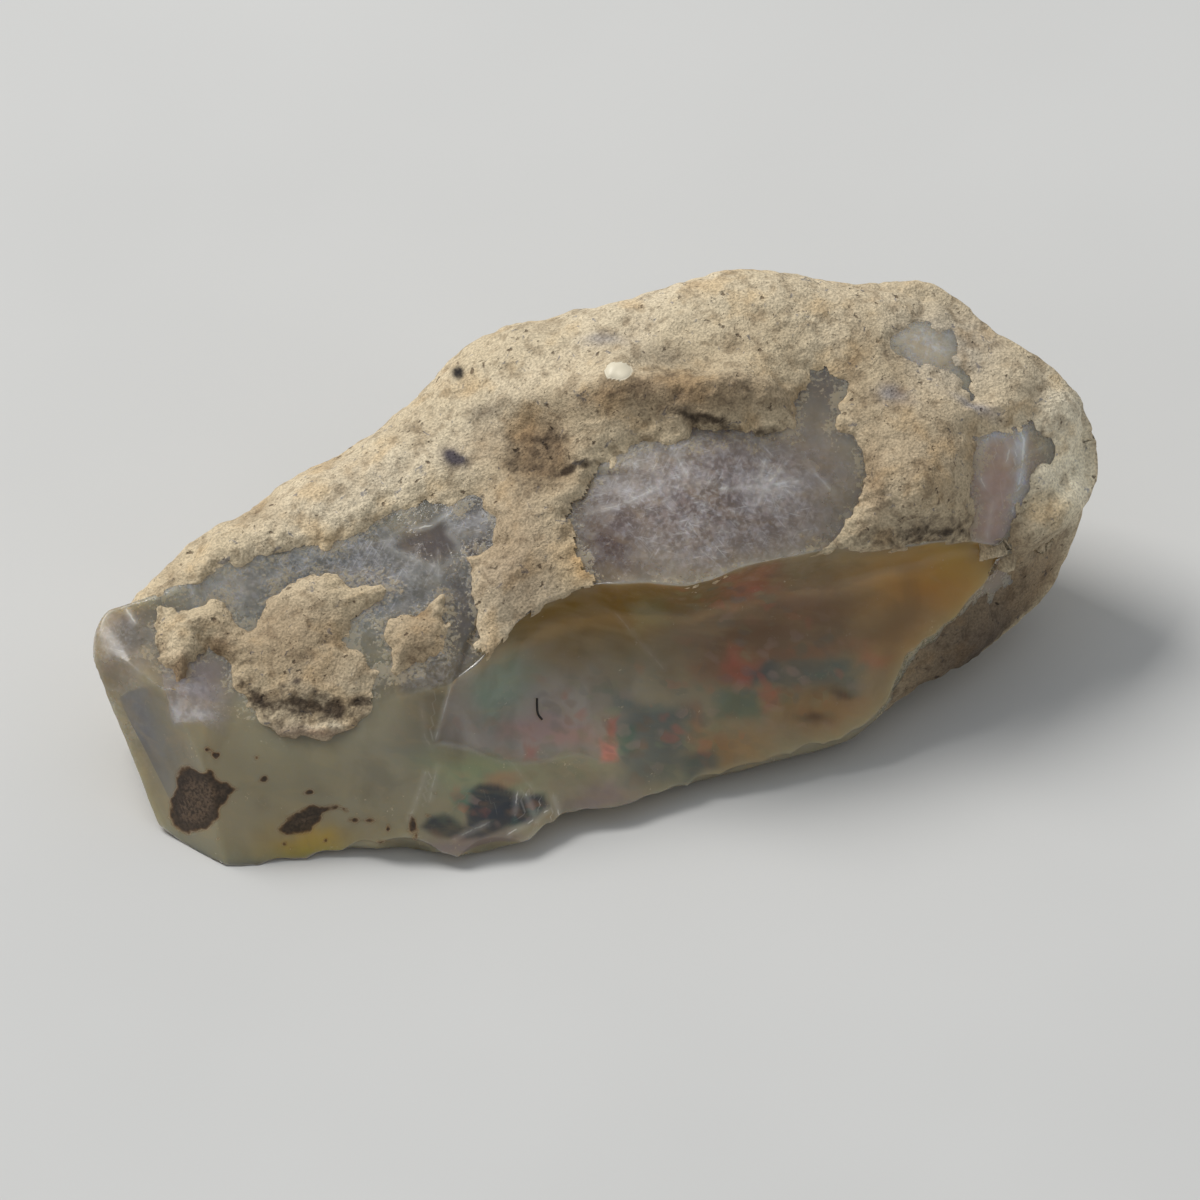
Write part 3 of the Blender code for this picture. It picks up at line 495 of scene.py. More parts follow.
TAN = srgb(208, 190, 158)
# pale tan powder, also laid as painted light on the lit tops
PALE_TAN_AND_PAINTED_LIGHT = srgb(224, 210, 182)
OCHRE = srgb(204, 170, 122)
# brown earth, also laid as painted shade in low and shadowed places
BROWN_EARTH_AND_PAINTED_SHADE = srgb(150, 128, 100)
# grey earth, darkened to stand for painted shade on the lower right end
GREY_EARTH_AND_PAINTED_SHADE = srgb(84, 73, 63)
PINK_EARTH = srgb(160, 138, 118)
BEAD = srgb(226, 216, 192)
POTCH = srgb(140, 140, 148)
DARK_FLECK = srgb(84, 78, 82)
VEIL = srgb(186, 176, 160)
SUNLIT_TAN = srgb(250, 238, 208)
BLACK_SPECK = srgb(40, 36, 34)
# Patches of colour on the host rock, as for the opal. The brown and grey earth patches are partly painted
# shade: on the lower right end, on the block, the island and the islet, under the ledges and in the hollows.
# The pale tan patches on the lit tops and the sunlit tan one on the right end are partly painted light.
ROCK_PATCHES = [
    # pale powder and painted light on the lit tops
    (-5.0, 5.8, 4.5, 0.9, 32, PALE_TAN_AND_PAINTED_LIGHT, 0.6),
    (1.0, 9.6, 4.0, 0.8, 8, PALE_TAN_AND_PAINTED_LIGHT, 0.5),
    (-2.0, 3.5, 1.2, 1.6, 0, PINK_EARTH, 0.4),
    # painted shade under the ledge over the top window and in the hollow beside it
    (2.6, 7.5, 2.8, 0.55, 3, BROWN_EARTH_AND_PAINTED_SHADE, 0.9),
    (-1.3, 6.3, 0.9, 0.9, 0, BROWN_EARTH_AND_PAINTED_SHADE, 1.3),
    (1.2, 7.75, 1.4, 0.3, 15, BROWN_EARTH_AND_PAINTED_SHADE, 0.9),
    (-2.0, 4.2, 1.0, 1.6, 10, BROWN_EARTH_AND_PAINTED_SHADE, 0.5),
    # painted shade on the block, the island and the islet, which face away from the light
    (8.0, 6.2, 2.0, 1.7, 0, BROWN_EARTH_AND_PAINTED_SHADE, 0.5),
    (-7.6, 1.6, 2.2, 1.5, 0, BROWN_EARTH_AND_PAINTED_SHADE, 0.7),
    (-4.3, 1.8, 0.8, 1.0, 0, BROWN_EARTH_AND_PAINTED_SHADE, 0.7),
    (6.9, 5.6, 0.25, 1.3, 0, BROWN_EARTH_AND_PAINTED_SHADE, 0.7),
    # painted shade on the lower right end, which curves away under the stone
    (10.0, 1.4, 3.6, 2.5, 40, BROWN_EARTH_AND_PAINTED_SHADE, 1.0),
    (9.9, 1.3, 2.7, 1.8, 40, GREY_EARTH_AND_PAINTED_SHADE, 0.96),
    (-7.42, 0.58, 0.12, 0.08, 20, GREY_EARTH_AND_PAINTED_SHADE, 1.3),
    (-7.0, -0.6, 1.5, 0.22, 0, PINK_EARTH, 0.9),
    (-6.7, -0.42, 0.5, 0.08, 5, PALE_TAN_AND_PAINTED_LIGHT, 0.8),
    (-10.4, 0.9, 0.5, 0.25, 30, BROWN_EARTH_AND_PAINTED_SHADE, 1.3),
    (-9.3, 1.5, 0.3, 0.2, 0, BROWN_EARTH_AND_PAINTED_SHADE, 1.2),
    (-4.3, 1.3, 0.6, 0.3, 0, BROWN_EARTH_AND_PAINTED_SHADE, 0.5),
    (0.0, 3.7, 0.9, 0.6, 0, OCHRE, 0.8),
    (9.8, 9.9, 0.6, 0.9, 0, SAND_GREY, 0.7),
    (7.45, 7.75, 0.4, 0.25, -20, POTCH, 0.9),
    (9.5, 7.5, 0.6, 0.15, -25, POTCH, 0.7),
    (11.43, 6.62, 0.07, 0.08, 0, BEAD, 4),
    # painted light on the right end of the host rock
    (11.9, 7.7, 0.9, 1.2, 0, PALE_TAN_AND_PAINTED_LIGHT, 1.1),
    (-3.1, 8.08, 0.1, 0.12, 0, BLACK_SPECK, 1.5),
    (-3.5, 6.17, 0.27, 0.18, -35, DARK_FLECK, 1.6),
    (-3.3, 6.1, 0.22, 0.1, -10, DARK_FLECK, 1.1),
    # painted light where the right end turns away from the lamp
    (11.7, 5.9, 0.9, 1.3, 0, SUNLIT_TAN, 0.95),
    (8.7, 9.0, 1.2, 0.8, -20, VEIL, 0.8),
    (1.7, 8.6, 0.9, 0.3, 0, GREY_EARTH_AND_PAINTED_SHADE, 0.5),
    (0.3, 9.0, 0.5, 0.15, 0, POTCH, 0.6),
    (-2.6, 7.3, 0.35, 0.15, 20, GREY_EARTH_AND_PAINTED_SHADE, 0.6),
]

# ---------------------------------------------------------------- how finely the pieces are divided
OPAL_GRID = {"spacing": 0.088, "cap": 14, "face": 92, "loop": (70, 60, 26, 18, 12, 22)}
ROCK_GRID = {"spacing": 0.075, "cap": 18, "face": 84, "loop": (98, 94, 60, 40, 12, 12)}
BOND_STRIDE = 4

# ---------------------------------------------------------------- shader settings, lights and camera
OPAL_SETTINGS = {
    "IOR": 1.45,
    "Subsurface Weight": 0.8,
    "Subsurface Radius": (1.0, 0.75, 0.45),
    "Subsurface Scale": 2 * MM,
}
OPAL_ABSORPTION = {"Color": (0.9, 0.72, 0.4, 1), "Density": 140.0}
ROCK_SETTINGS = {"IOR": 1.45}

FLOOR_REACH = 3           # metres from the stone
ROOM_COLOUR = (0.92, 0.96, 1.0, 1)
ROOM_STRENGTH = 0.42
KEY_OFFSET = (-0.16, 0.2, 0.37)      # metres from the stone
KEY_SIZE = 0.22
KEY_WATTS = 1.6
KEY_COLOUR = (1.0, 0.98, 0.95)
CAMERA_LENS = 720
CAMERA_SENSOR = 36
CAMERA_DISTANCE = 0.6
CAMERA_AIM = (0.82, 1.64, 2.03)
CAMERA_RISE = 2.14        # from the aim towards the camera


# ---------------------------------------------------------------- form
def smooth_line(line, x, blur):
    """The (y, z) of a line at each x, with its corners rounded over the length blur."""
    table = np.array(line)
    offsets = np.linspace(-blur, blur, BLUR_SAMPLES)
    weights = np.cos(offsets / blur * math.pi / 2) ** 2
    near = x[:, None] + offsets
    across = [np.interp(near, table[:, 0], table[:, k]) @ weights / weights.sum() for k in (1, 2)]
    return np.stack(across, axis=1)


def broken_edge(line, x, blur, seed, lean):
    """An edge line, with small shell-shaped bites in it where it is followed sharply."""
    edge = smooth_line(line, x, blur)
    if blur == SHARP:
        reach = [abs(noise.noise(Vector((place / BITE_LENGTH, seed, 0)))) for place in x]
        edge += BITE_DEPTH * np.array(reach)[:, None] * np.array(lean)
    return edge


def lower_edge(x, blur):
    return broken_edge(LOWER_EDGE, x, blur, *LOWER_BITES)


def rim(x, blur):
    return broken_edge(RIM, x, blur, *RIM_BITES)


def stations(spacing, cap):
    """Distances along X of the cross-sections, closer together on the two rounded ends."""
    turn = np.linspace(0, math.pi / 2, cap + 1)[1:]
    left = LEFT_TIP + LEFT_ROUNDING * (1 - np.cos(turn))
    right = RIGHT_TIP - RIGHT_ROUNDING * (1 - np.cos(turn))
    count = round((right[-1] - left[-1]) / spacing)
    middle = np.linspace(left[-1], right[-1], count + 1)[1:-1]
    return np.concatenate([left, middle, right[::-1]])


def broken_face(x, steps):
    """Points of each section on the face, from the lower edge up to just under the rim."""
    v = np.linspace(0, 1, steps, endpoint=False)[None, :, None]
    depth = smooth_line([(x_at, d, 0) for x_at, d in HOLLOW], x, HOLLOW_BLUR)[:, :1, None]
    faces = []
    for blur in (SHARP, CALM):
        low = lower_edge(x, blur)
        rise = (rim(x, blur) - low)[:, None, :]
        inward = np.stack([rise[..., 1], -rise[..., 0]], axis=-1)
        inward = inward / np.linalg.norm(inward, axis=-1, keepdims=True)
        faces.append(low[:, None, :] + rise * v + inward * depth * np.sin(math.pi * v ** HOLLOW_SKEW))
    calm = np.sin(math.pi * v) ** CALM_POWER
    return faces[0] + (faces[1] - faces[0]) * calm


def curved(knots, steps):
    """Points from the second of four knots up to the third, on a Catmull-Rom curve."""
    before, start, end, after = (knot[:, None, :] for knot in knots)
    v = np.linspace(0, 1, steps, endpoint=False)[None, :, None]
    bend = (2 * before - 5 * start + 4 * end - after) * v ** 2
    twist = (3 * start - before - 3 * end + after) * v ** 3
    return (2 * start + (end - before) * v + bend + twist) / 2


def rounded_loop(x, loop_steps):
    """Points from the rim over the crest, down the back and under the stone to the lower edge."""
    loops = []
    for blur in (SHARP, CALM):
        knots = [smooth_line(line, x, LOOP_BLUR) for line in (SHOULDER, CREST, BACK, HEEL, KEEL)]
        knots = [rim(x, blur)] + knots + [lower_edge(x, blur)]
        knots = [2 * knots[0] - knots[1]] + knots + [2 * knots[-1] - knots[-2]]
        stretches = [curved(knots[k:k + 4], steps) for k, steps in enumerate(loop_steps)]
        loops.append(np.concatenate(stretches, axis=1))
    sharp, calm = loops
    shares = [np.zeros(steps) for steps in loop_steps]
    shares[0] = np.exp(-FADE * np.linspace(0, 1, loop_steps[0]))
    shares[-1] = np.exp(-FADE * np.linspace(1, 0, loop_steps[-1]))
    return calm + (sharp - calm) * np.concatenate(shares)[None, :, None]


def taper(x):
    """How much of its size each section keeps towards the two rounded ends."""
    from_left = np.clip((LEFT_TIP + LEFT_ROUNDING - x) / LEFT_ROUNDING, 0, 1)
    from_right = np.clip((x - RIGHT_TIP + RIGHT_ROUNDING) / RIGHT_ROUNDING, 0, 1)
    return np.sqrt(1 - np.maximum(from_left, from_right) ** 2)[:, None, None]


def break_flat(points, direction, distance):
    """Moves every point beyond a plane straight back onto it, and says which ones were beyond."""
    normal = np.array(direction) / np.linalg.norm(direction)
    beyond = np.maximum(points @ normal - distance, 0)
    return points - beyond[..., None] * normal, (beyond > 0)[..., None], normal


def chip(points, x, y, z, radius):
    """Moves every point inside a ball straight out onto its surface."""
    centre = np.array((x, y, z))
    away = points - centre
    reach = np.linalg.norm(away, axis=-1, keepdims=True)
    return np.where(reach < radius, centre + away * radius / np.maximum(reach, NO_REACH), points)


def outward(rings):
    """Unit normals of a grid of rings."""
    lengthwise = np.gradient(rings, axis=0)
    around = np.roll(rings, -1, axis=1) - np.roll(rings, 1, axis=1)
    normal = np.cross(lengthwise, around)
    return normal / np.maximum(np.linalg.norm(normal, axis=-1, keepdims=True), NO_AREA)


def stone(spacing, cap, face, loop):
    """The bare form as a grid: its points and normals, how far each is past the rim, and the grid's size."""
    x = stations(spacing, cap)
    ring = np.concatenate([broken_face(x, face), rounded_loop(x, loop)], axis=1)
    centre = ring.mean(axis=1, keepdims=True)
    ring = centre + (ring - centre) * taper(x)
    rings = np.concatenate([np.broadcast_to(x[:, None, None], ring[..., :1].shape), ring], axis=2)
    rings = break_flat(rings, *UNDERCUT)[0]
    rings, broken, flat = break_flat(rings, *LEFT_BREAK)
    for ball in CHIPS + SMALL_CHIPS:
        rings = chip(rings, *ball)
    rings[..., 2] = np.maximum(rings[..., 2], 0)
    step = np.linalg.norm(np.diff(rings, axis=1, append=rings[:, :1]), axis=-1)
    travelled = np.cumsum(step, axis=1) - step
    past_rim = travelled - travelled[:, face:face + 1]
    poles = rings[[0, -1]].mean(axis=1)
    points = np.concatenate([rings.reshape(-1, 3), poles])
    normals = np.where(broken, flat, outward(rings)).reshape(-1, 3)
    normals = np.concatenate([normals, [(-1, 0, 0), (1, 0, 0)]])
    return points, normals, np.append(past_rim.ravel(), [0, 0]), ring.shape[:2]


def grid_faces(sections, around, stride=1):
    """The four-cornered faces between every stride-th ring, and the fans that close both ends."""
    start = np.arange(0, sections - 1, stride)[:, None]
    end = np.minimum(start + stride, sections - 1) * around
    start = start * around
    j = np.arange(0, around, stride)[None]
    k = (j + stride) % around
    quads = np.stack([start + j, end + j, end + k, start + k], axis=-1).reshape(-1, 4)
    last = (sections - 1) * around
    pole = np.full(j.size, sections * around)
    left = np.stack([pole, j[0], k[0]], axis=-1)
    right = np.stack([pole + 1, last + k[0], last + j[0]], axis=-1)
    return quads, np.concatenate([left, right])


# ---------------------------------------------------------------- measures on the surface
def waves(points, size, seed=0):
    """Smooth noise of about -1 to 1 at each point, with lumps about size across."""
    shift = np.array((17.3, 5.1, 9.7)) * seed
    return np.array([noise.noise(Vector(p)) for p in points / size + shift])


def layered(points, layers):
    """The sum of several layers of smooth noise, each as (height, size, seed)."""
    return sum(height * waves(points, size, seed) for height, size, seed in layers)


def pits(points, size, seed):
    """1 at the middle of scattered small cells and 0 between them."""
    shift = np.array((3.1, 7.7, 1.9)) * seed
    nearest = np.array([noise.voronoi(Vector(p))[0][0] for p in points / size + shift])
    return np.clip(1 - nearest / PIT_REACH, 0, 1)


def soft_step(low, high, value):
    share = np.clip((value - low) / (high - low), 0, 1)
    return share * share * (3 - 2 * share)


def cast(points, normals):
    """Where points fall on the sheet, and how squarely each one faces it."""
    across = np.array((math.cos(SHEET_TURN), -math.sin(SHEET_TURN), 0))
    level = np.array((math.sin(SHEET_TURN), math.cos(SHEET_TURN), 0))
    up = level * math.sin(SHEET_TILT) + np.array((0, 0, math.cos(SHEET_TILT)))
    facing = np.array((0, 0, math.sin(SHEET_TILT))) - level * math.cos(SHEET_TILT)
    return np.stack([points @ across, points @ up], axis=1), normals @ facing


def sheet_rotation():
    """The turn that takes the axes of the stone to those of the sheet."""
    return Matrix.Rotation(-SHEET_TURN, 3, "Z") @ Matrix.Rotation(-SHEET_TILT, 3, "X")


def outline_distance(points, outline):
    """Distance of sheet points to a closed outline, negative inside it."""
    corners = np.array(outline)
    nearest = np.full(len(points), np.inf)
    inside = np.zeros(len(points), dtype=bool)
    for start, end in zip(corners, np.roll(corners, -1, axis=0)):
        side = end - start
        offset = points - start
        share = np.clip(offset @ side / (side @ side), 0, 1)
        nearest = np.minimum(nearest, np.linalg.norm(offset - share[:, None] * side, axis=1))
        level = (start[1] > points[:, 1]) != (end[1] > points[:, 1])
        rise = side[1] if side[1] else 1
        inside ^= level & (points[:, 0] < start[0] + (points[:, 1] - start[1]) * side[0] / rise)
    return np.where(inside, -nearest, nearest)


def ragged(sheet, points, amount):
    """Sheet places shifted a little by noise, so that borders and patches aren't smooth."""
    shifts = [layered(points, [(0.7, 0.9, seed), (0.3, 0.3, seed + 5)]) for seed in (1, 2)]
    return sheet + amount * np.stack(shifts, axis=1)


def shares(sheet, across, up, half_width, half_height, turn=0.0):
    """Sheet places in the turned frame of a patch, as shares of its half width and half height."""
    c, s = math.cos(math.radians(turn)), math.sin(math.radians(turn))
    x = sheet[:, 0] - across
    y = sheet[:, 1] - up
    return (x * c + y * s) / half_width, (y * c - x * s) / half_height


def spot(sheet, *place):
    """1 at the middle of an oval on the sheet, falling softly to 0 outside it."""
    x, y = shares(sheet, *place)
    return np.exp(-x ** 2 - y ** 2)


def flash(sheet, *place):
    """1 inside a turned rectangle on the sheet, with a narrow soft border."""
    x, y = shares(sheet, *place)
    return soft_step(1.6, 0.4, np.maximum(np.abs(x), np.abs(y)))


def strongest(sheet, spots):
    """The greatest of a table of spots at each sheet place, each with its amount as its last number."""
    return np.max([amount * spot(sheet, *place) for *place, amount in spots], axis=0)


def shaped(sheet, loose, strength, border, place, outline):
    """How much of a patch shows inside its own outline, fading away from its strongest place."""
    inside = soft_step(border, -border, outline_distance(loose, outline))
    return np.clip(strength * inside * spot(sheet, *place), 0, 1)


def laid(under, amount, over):
    """Colours of points with another colour laid over them by an amount of 0 to 1."""
    return under + (np.array(over) - under) * amount[:, None]


def painted(sheet, ground, patches, share, form=spot):
    """Colours of points: patches laid one after another over the ground colour."""
    colours = np.zeros((len(sheet), 3)) + ground
    for *place, colour, strength in patches:
        colours = laid(colours, np.clip(strength * form(sheet, *place), 0, 1) * share, colour)
    return colours


def scratch_and_glint_fields(sheet):
    """Signed distance to the nearest scratch, the painted glint among them, and how much of it shows there.
    """
    best = np.full(len(sheet), np.inf)
    side = np.full(len(sheet), 1.0)
    here = np.zeros(len(sheet))
    for strength, path in SCRATCHES_AND_GLINT:
        for start, end in zip(path, path[1:]):
            way = np.array(end) - start
            length = np.linalg.norm(way)
            offset = sheet - start
            travel = offset @ way / length
            across = (offset[:, 0] * way[1] - offset[:, 1] * way[0]) / length
            over = np.maximum(np.maximum(-travel, travel - length), 0)
            nearer = np.hypot(across, over) < best
            best = np.where(nearer, np.hypot(across, over), best)
            side = np.where(nearer, across, side)
            here = np.where(nearer, strength * soft_step(SCRATCH_END, 0, over), here)
    return side, here


def stain_distance(sheet):
    """Distance to the border of the nearest rust stain or dot, negative inside it."""
    reaches = [outline_distance(sheet, outline) for outline in STAINS]
    for across, up, half_width, half_height in RUST_DOTS:
        reach = np.hypot((sheet[:, 0] - across) / half_width, (sheet[:, 1] - up) / half_height)
        reaches.append((reach - 1.1) * 1.5 * min(half_width, half_height))
    return np.min(reaches, axis=0)


def rock_covers(points, normals):
    """Signed cover of each remnant: distance in from its border, negative where the opal is bare."""
    sheet, facing = cast(points, normals)
    share = soft_step(*IN_SIGHT, facing)
    loose = ragged(sheet, points, 0.22)
    shown = np.min([outline_distance(loose, outline) for outline in BARE], axis=0)
    behind = np.minimum(points[:, 2] - BOND_HEIGHT, points[:, 1] - BOND_FRONT)
    at_right = np.minimum(points[:, 0] - RIGHT_COVER_FROM, points[:, 2] - RIGHT_COVER_HEIGHT)
    hidden = np.minimum(np.maximum(behind, at_right), points[:, 0] - LEFT_COVER_TO)
    hidden = hidden + layered(points, UNEVEN_BORDER)
    crumbs = layered(points, CRUMBS)
    covers = {"host_rock": hidden + (shown - hidden) * share + crumbs}
    for name, outline in REMNANTS.items():
        covers[name] = np.where(facing > 0, -outline_distance(loose, outline), -1) + crumbs
    return covers


# ---------------------------------------------------------------- meshes
def build(name, points, faces, attributes):
    """An object from points in millimetres, kept inside the solids' box, with its surface measures."""
    low = np.array(cad_low) / MM + (BOX_MARGIN, BOX_MARGIN, 0)
    high = np.array(cad_high) / MM - BOX_MARGIN
    mesh = bpy.data.meshes.new(name)
    mesh.from_pydata((np.clip(points, low, high) * MM).tolist(), [], faces)
    for key, values in attributes.items():
        kind, field = ("FLOAT_VECTOR", "vector") if values.ndim == 2 else ("FLOAT", "value")
        layer = mesh.attributes.new(key, kind, "POINT")
        layer.data.foreach_set(field, values.astype(np.float32).ravel())
    mesh.shade_smooth()
    ob = bpy.data.objects.new(name, mesh)
    bpy.context.scene.collection.objects.link(ob)
    return ob


def opal_relief(points, sheet, front):
    """How far the broken and worn opal stands above the plain form."""
    scar = soft_step(0, 0.12, -outline_distance(sheet, FLAKE)) * soft_step(1.2, -0.6, sheet[:, 0])
    struck = np.linalg.norm(sheet - np.array(STRUCK_AT), axis=1)
    shells = SHELL_RISE * np.sin(struck * SHELL_TURN + 1.5 * waves(points, 2.0, 3))
    below_top = soft_step(4.5, 2.0, sheet[:, 1])
    return front * (shells * below_top - FLAKE_DEPTH * scar) + layered(points, WORN_WAVES)


def opal_colours(points, sheet, close, front, above):
    """Colour of the opal and how frosted it is, on its face, its bare top and its hidden sides."""
    loose = ragged(sheet, points, 0.35)
    ground = laid(np.array(OLIVE_HONEY), shaped(sheet, close, *FLAKE_PATCH), MIST)
    face = painted(loose, ground, FACE_PATCHES, front)
    face = painted(ragged(sheet, points, 0.3), face, FLASHES, front, flash)
    tint = laid(face, above, painted(loose, OLIVE_HONEY, TOP_PATCHES, front))
    tint = laid(tint, 1 - front, HONEY)
    frost = strongest(loose, FROST) * (front * (0.35 + 0.65 * above))
    for colour, added, *patch in SHAPED_PATCHES:
        amount = shaped(sheet, close, *patch) * front
        tint = laid(tint, amount, colour)
        frost = np.clip(frost + added * amount, 0, 1)
    fire = front * (1 - above) * strongest(loose, FIRE)
    return {"tint": tint, "frost": frost, "fire": fire}


def make_opal():
    """The opal body, with the measures on its surface that its material reads."""
    points, normals, past_rim, grid = stone(**OPAL_GRID)
    sheet, facing = cast(points, normals)
    front = soft_step(-0.05, 0.15, facing)
    above = soft_step(-0.06, 0.02, past_rim)
    close = ragged(sheet, points, 0.12)
    measures = opal_colours(points, sheet, close, front, above)
    measures["stain"] = np.clip(stain_distance(close) + 2 * (1 - front), -1, 1)
    # painted highlight along the rim, fading away from it
    measures["rim_highlight"] = front * np.exp(-np.abs(past_rim) / RIM_HIGHLIGHT_WIDTH) * soft_step(-0.5, 0.8, sheet[:, 0])
    bare = -np.max(list(rock_covers(points, normals).values()), axis=0)
    bare *= 1 - strongest(sheet, GRITTY)
    measures["bare"] = np.clip(bare + 3 * (1 - above * front), -1, 3)
    side, here = scratch_and_glint_fields(ragged(sheet, points, 0.06))
    measures["scratch_and_glint_side"] = side
    measures["scratch_and_glint_here"] = here * front
    placed = points + normals * opal_relief(points, sheet, front)[:, None]
    faces = [face for group in grid_faces(*grid) for face in group.tolist()]
    return build("opal_body", placed, faces, measures)


def bead_dome(sheet, across, up, radius):
    """Height of a round bead as a share of its greatest height."""
    reach = np.hypot(sheet[:, 0] - across, sheet[:, 1] - up) / radius
    return np.sqrt(np.clip(1 - reach ** 2, 0, 1))


def rock_relief(points, sheet, share, past_rim):
    """Thickness of the host rock away from its borders, the painted shade of its low places, and the beads
    in it.
    """
    swell = LUMP_RISE * waves(points, LUMP_SIZE)
    for *place, rise in SWELLS:
        swell += rise * share * spot(sheet, *place)
    bumps = layered(points, ROCK_LUMPS)
    bumps -= 0.1 * pits(points, 0.9, 1) ** 2 + 0.05 * pits(points, 0.35, 2)
    # painted shade: how low the surface lies among its swells and bumps
    hollow_shade = soft_step(0.02, -0.35, 0.6 * swell + 1.6 * bumps)
    dome = share * np.max([bead_dome(sheet, *bead) for bead in BEADS], axis=0)
    bumps += (BEAD_RISE * dome - bumps) * soft_step(0, 0.4, dome)
    thickness = np.clip(ROCK_THICKNESS + swell + bumps, ROCK_LEAST, ROCK_MOST)
    worn = share * soft_step(-0.6, -0.1, past_rim) * soft_step(1.3, 0, past_rim)
    thickness *= 1 - RIM_WEAR * worn
    thickness *= 1 - share * strongest(sheet, THIN)
    return thickness, hollow_shade, dome


def make_rock():
    """The three remnants of host rock, each a rough skin outside the opal and a bonded side within it."""
    points, normals, past_rim, grid = stone(**ROCK_GRID)
    sheet, facing = cast(points, normals)
    share = soft_step(*IN_SIGHT, facing)
    thickness, hollow_shade, bead = rock_relief(points, sheet, share, past_rim)
    tint = painted(ragged(sheet, points, 0.14), TAN, ROCK_PATCHES, share)
    # painted shade: the low places are darkened towards brown
    tint = laid(tint, 0.75 * hollow_shade, BROWN_EARTH_AND_PAINTED_SHADE)
    # the listed spots of painted shade go to the material as a measure
    measures = {"tint": tint, "bead": bead, "painted_shade": share * strongest(sheet, PAINTED_SHADE_SPOTS)}
    spread = 0.55 + 0.25 * waves(points, 1.4, 9)
    spread *= 1 - 0.8 * (share * strongest(sheet, WALLS))
    made = {}
    for name, cover in rock_covers(points, normals).items():
        inside = thickness * (1 - np.exp(-np.maximum(cover, 0) / spread))
        outside = np.maximum(np.minimum(cover, 0) * thickness / spread, -DEEPEST_BORDER)
        skin = points + normals * (inside + outside)[:, None]
        bond = points - normals * INNER_DEPTH
        kept = [f[(cover[f] > 0).any(axis=1)] for f in grid_faces(*grid)]
        bonded = [f[(cover[f] > 0.05).all(axis=1)] for f in grid_faces(*grid, BOND_STRIDE)]
        made[name] = rock_piece(name + "_skin", skin, bond, kept, bonded, measures)
    return made


def rock_piece(name, skin, bond, kept, bonded, measures):
    """One remnant from its outer faces and its bonded faces, which look the other way."""
    outer = [face for group in kept for face in group.tolist()]
    count = len(skin)
    inner = [[v + count for v in reversed(face)] for group in bonded for face in group.tolist()]
    faces = outer + inner
    used = sorted({v for face in faces for v in face})
    number = {v: k for k, v in enumerate(used)}
    points = np.concatenate([skin, bond])[used]
    picked = np.array(used) % count
    faces = [[number[v] for v in face] for face in faces]
    return build(name, points, faces, {key: values[picked] for key, values in measures.items()})


def surface_point(body, across, up):
    """The place in millimetres on the front of a piece at a place on the sheet, and its normal."""
    turn = sheet_rotation()
    away = turn @ Vector((0, 1, 0))
    start = turn @ Vector((across, -RAY_START, up))
    _, place, normal, _ = body.ray_cast(start * MM, away)
    return place / MM, normal


def make_fibre(body):
    """A tiny dark hair stuck to the face."""
    curve = bpy.data.curves.new("stray_fibre", "CURVE")
    curve.dimensions = "3D"
    curve.bevel_depth = FIBRE_RADIUS * MM
    curve.bevel_resolution = 2
    line = curve.splines.new("BEZIER")
    line.bezier_points.add(len(FIBRE) - 1)
    for bend, (across, up) in zip(line.bezier_points, FIBRE):
        point, normal = surface_point(body, across, up)
        bend.co = (point + normal * FIBRE_LIFT) * MM
        bend.handle_left_type = "AUTO"
        bend.handle_right_type = "AUTO"
    ob = bpy.data.objects.new("stray_fibre", curve)
    bpy.context.scene.collection.objects.link(ob)
    return ob


# ---------------------------------------------------------------- material nodes
def node(tree, kind, inputs, **settings):
    """A node with its settings, whose inputs are values or the sockets that feed them."""
    made = tree.nodes.new(kind)
    for key, value in settings.items():
        setattr(made, key, value)
    for key, value in inputs.items():
        if isinstance(value, bpy.types.NodeSocket):
            tree.links.new(value, made.inputs[key])
        else:
            made.inputs[key].default_value = value
    return made


def maths(tree, operation, a, b=0.0, c=0.0):
    return node(tree, "ShaderNodeMath", {0: a, 1: b, 2: c}, operation=operation).outputs[0]


def times(tree, a, b):
    return maths(tree, "MULTIPLY", a, b)


def plus(tree, a, b):
    return maths(tree, "ADD", a, b)


def minus(tree, a, b):
    return maths(tree, "SUBTRACT", a, b)


def most(tree, a, b):
    return maths(tree, "MAXIMUM", a, b)


def blend(tree, factor, a, b, mode="MIX"):
    """A mix of two colours, each a socket or the levels of red, green and blue."""
    a, b = ((*side, 1) if isinstance(side, tuple) else side for side in (a, b))
    made = node(tree, "ShaderNodeMix", {0: factor, 6: a, 7: b}, data_type="RGBA", blend_type=mode)
    return made.outputs[2]


def dyed(tree, factor, colour, dye):
    return blend(tree, factor, colour, dye, "MULTIPLY")


def remap(tree, value, low, high, to_low=0.0, to_high=1.0):
    inputs = {"Value": value, "From Min": low, "From Max": high, "To Min": to_low, "To Max": to_high}
    return node(tree, "ShaderNodeMapRange", inputs, interpolation_type="SMOOTHSTEP").outputs[0]


def turned(tree, place, turn, stretch):
    """Coordinates in a turned frame, with the texture that reads them squeezed by each stretch."""
    inputs = {"Vector": place, "Rotation": turn, "Scale": [1 / share for share in stretch]}
    return node(tree, "ShaderNodeMapping", inputs, vector_type="TEXTURE").outputs[0]


def millimetres(tree, turn=(0, 0, 0), stretch=(1, 1, 1)):
    """Object coordinates in millimetres, turned and stretched for a grained texture."""
    place = node(tree, "ShaderNodeTexCoord", {}).outputs["Object"]
    return turned(tree, place, turn, [share / MM for share in stretch])


def grain(tree, place, scale, detail=3.0, distortion=0.0):
    inputs = {"Vector": place, "Scale": scale, "Detail": detail, "Distortion": distortion}
    return node(tree, "ShaderNodeTexNoise", inputs).outputs["Fac"]


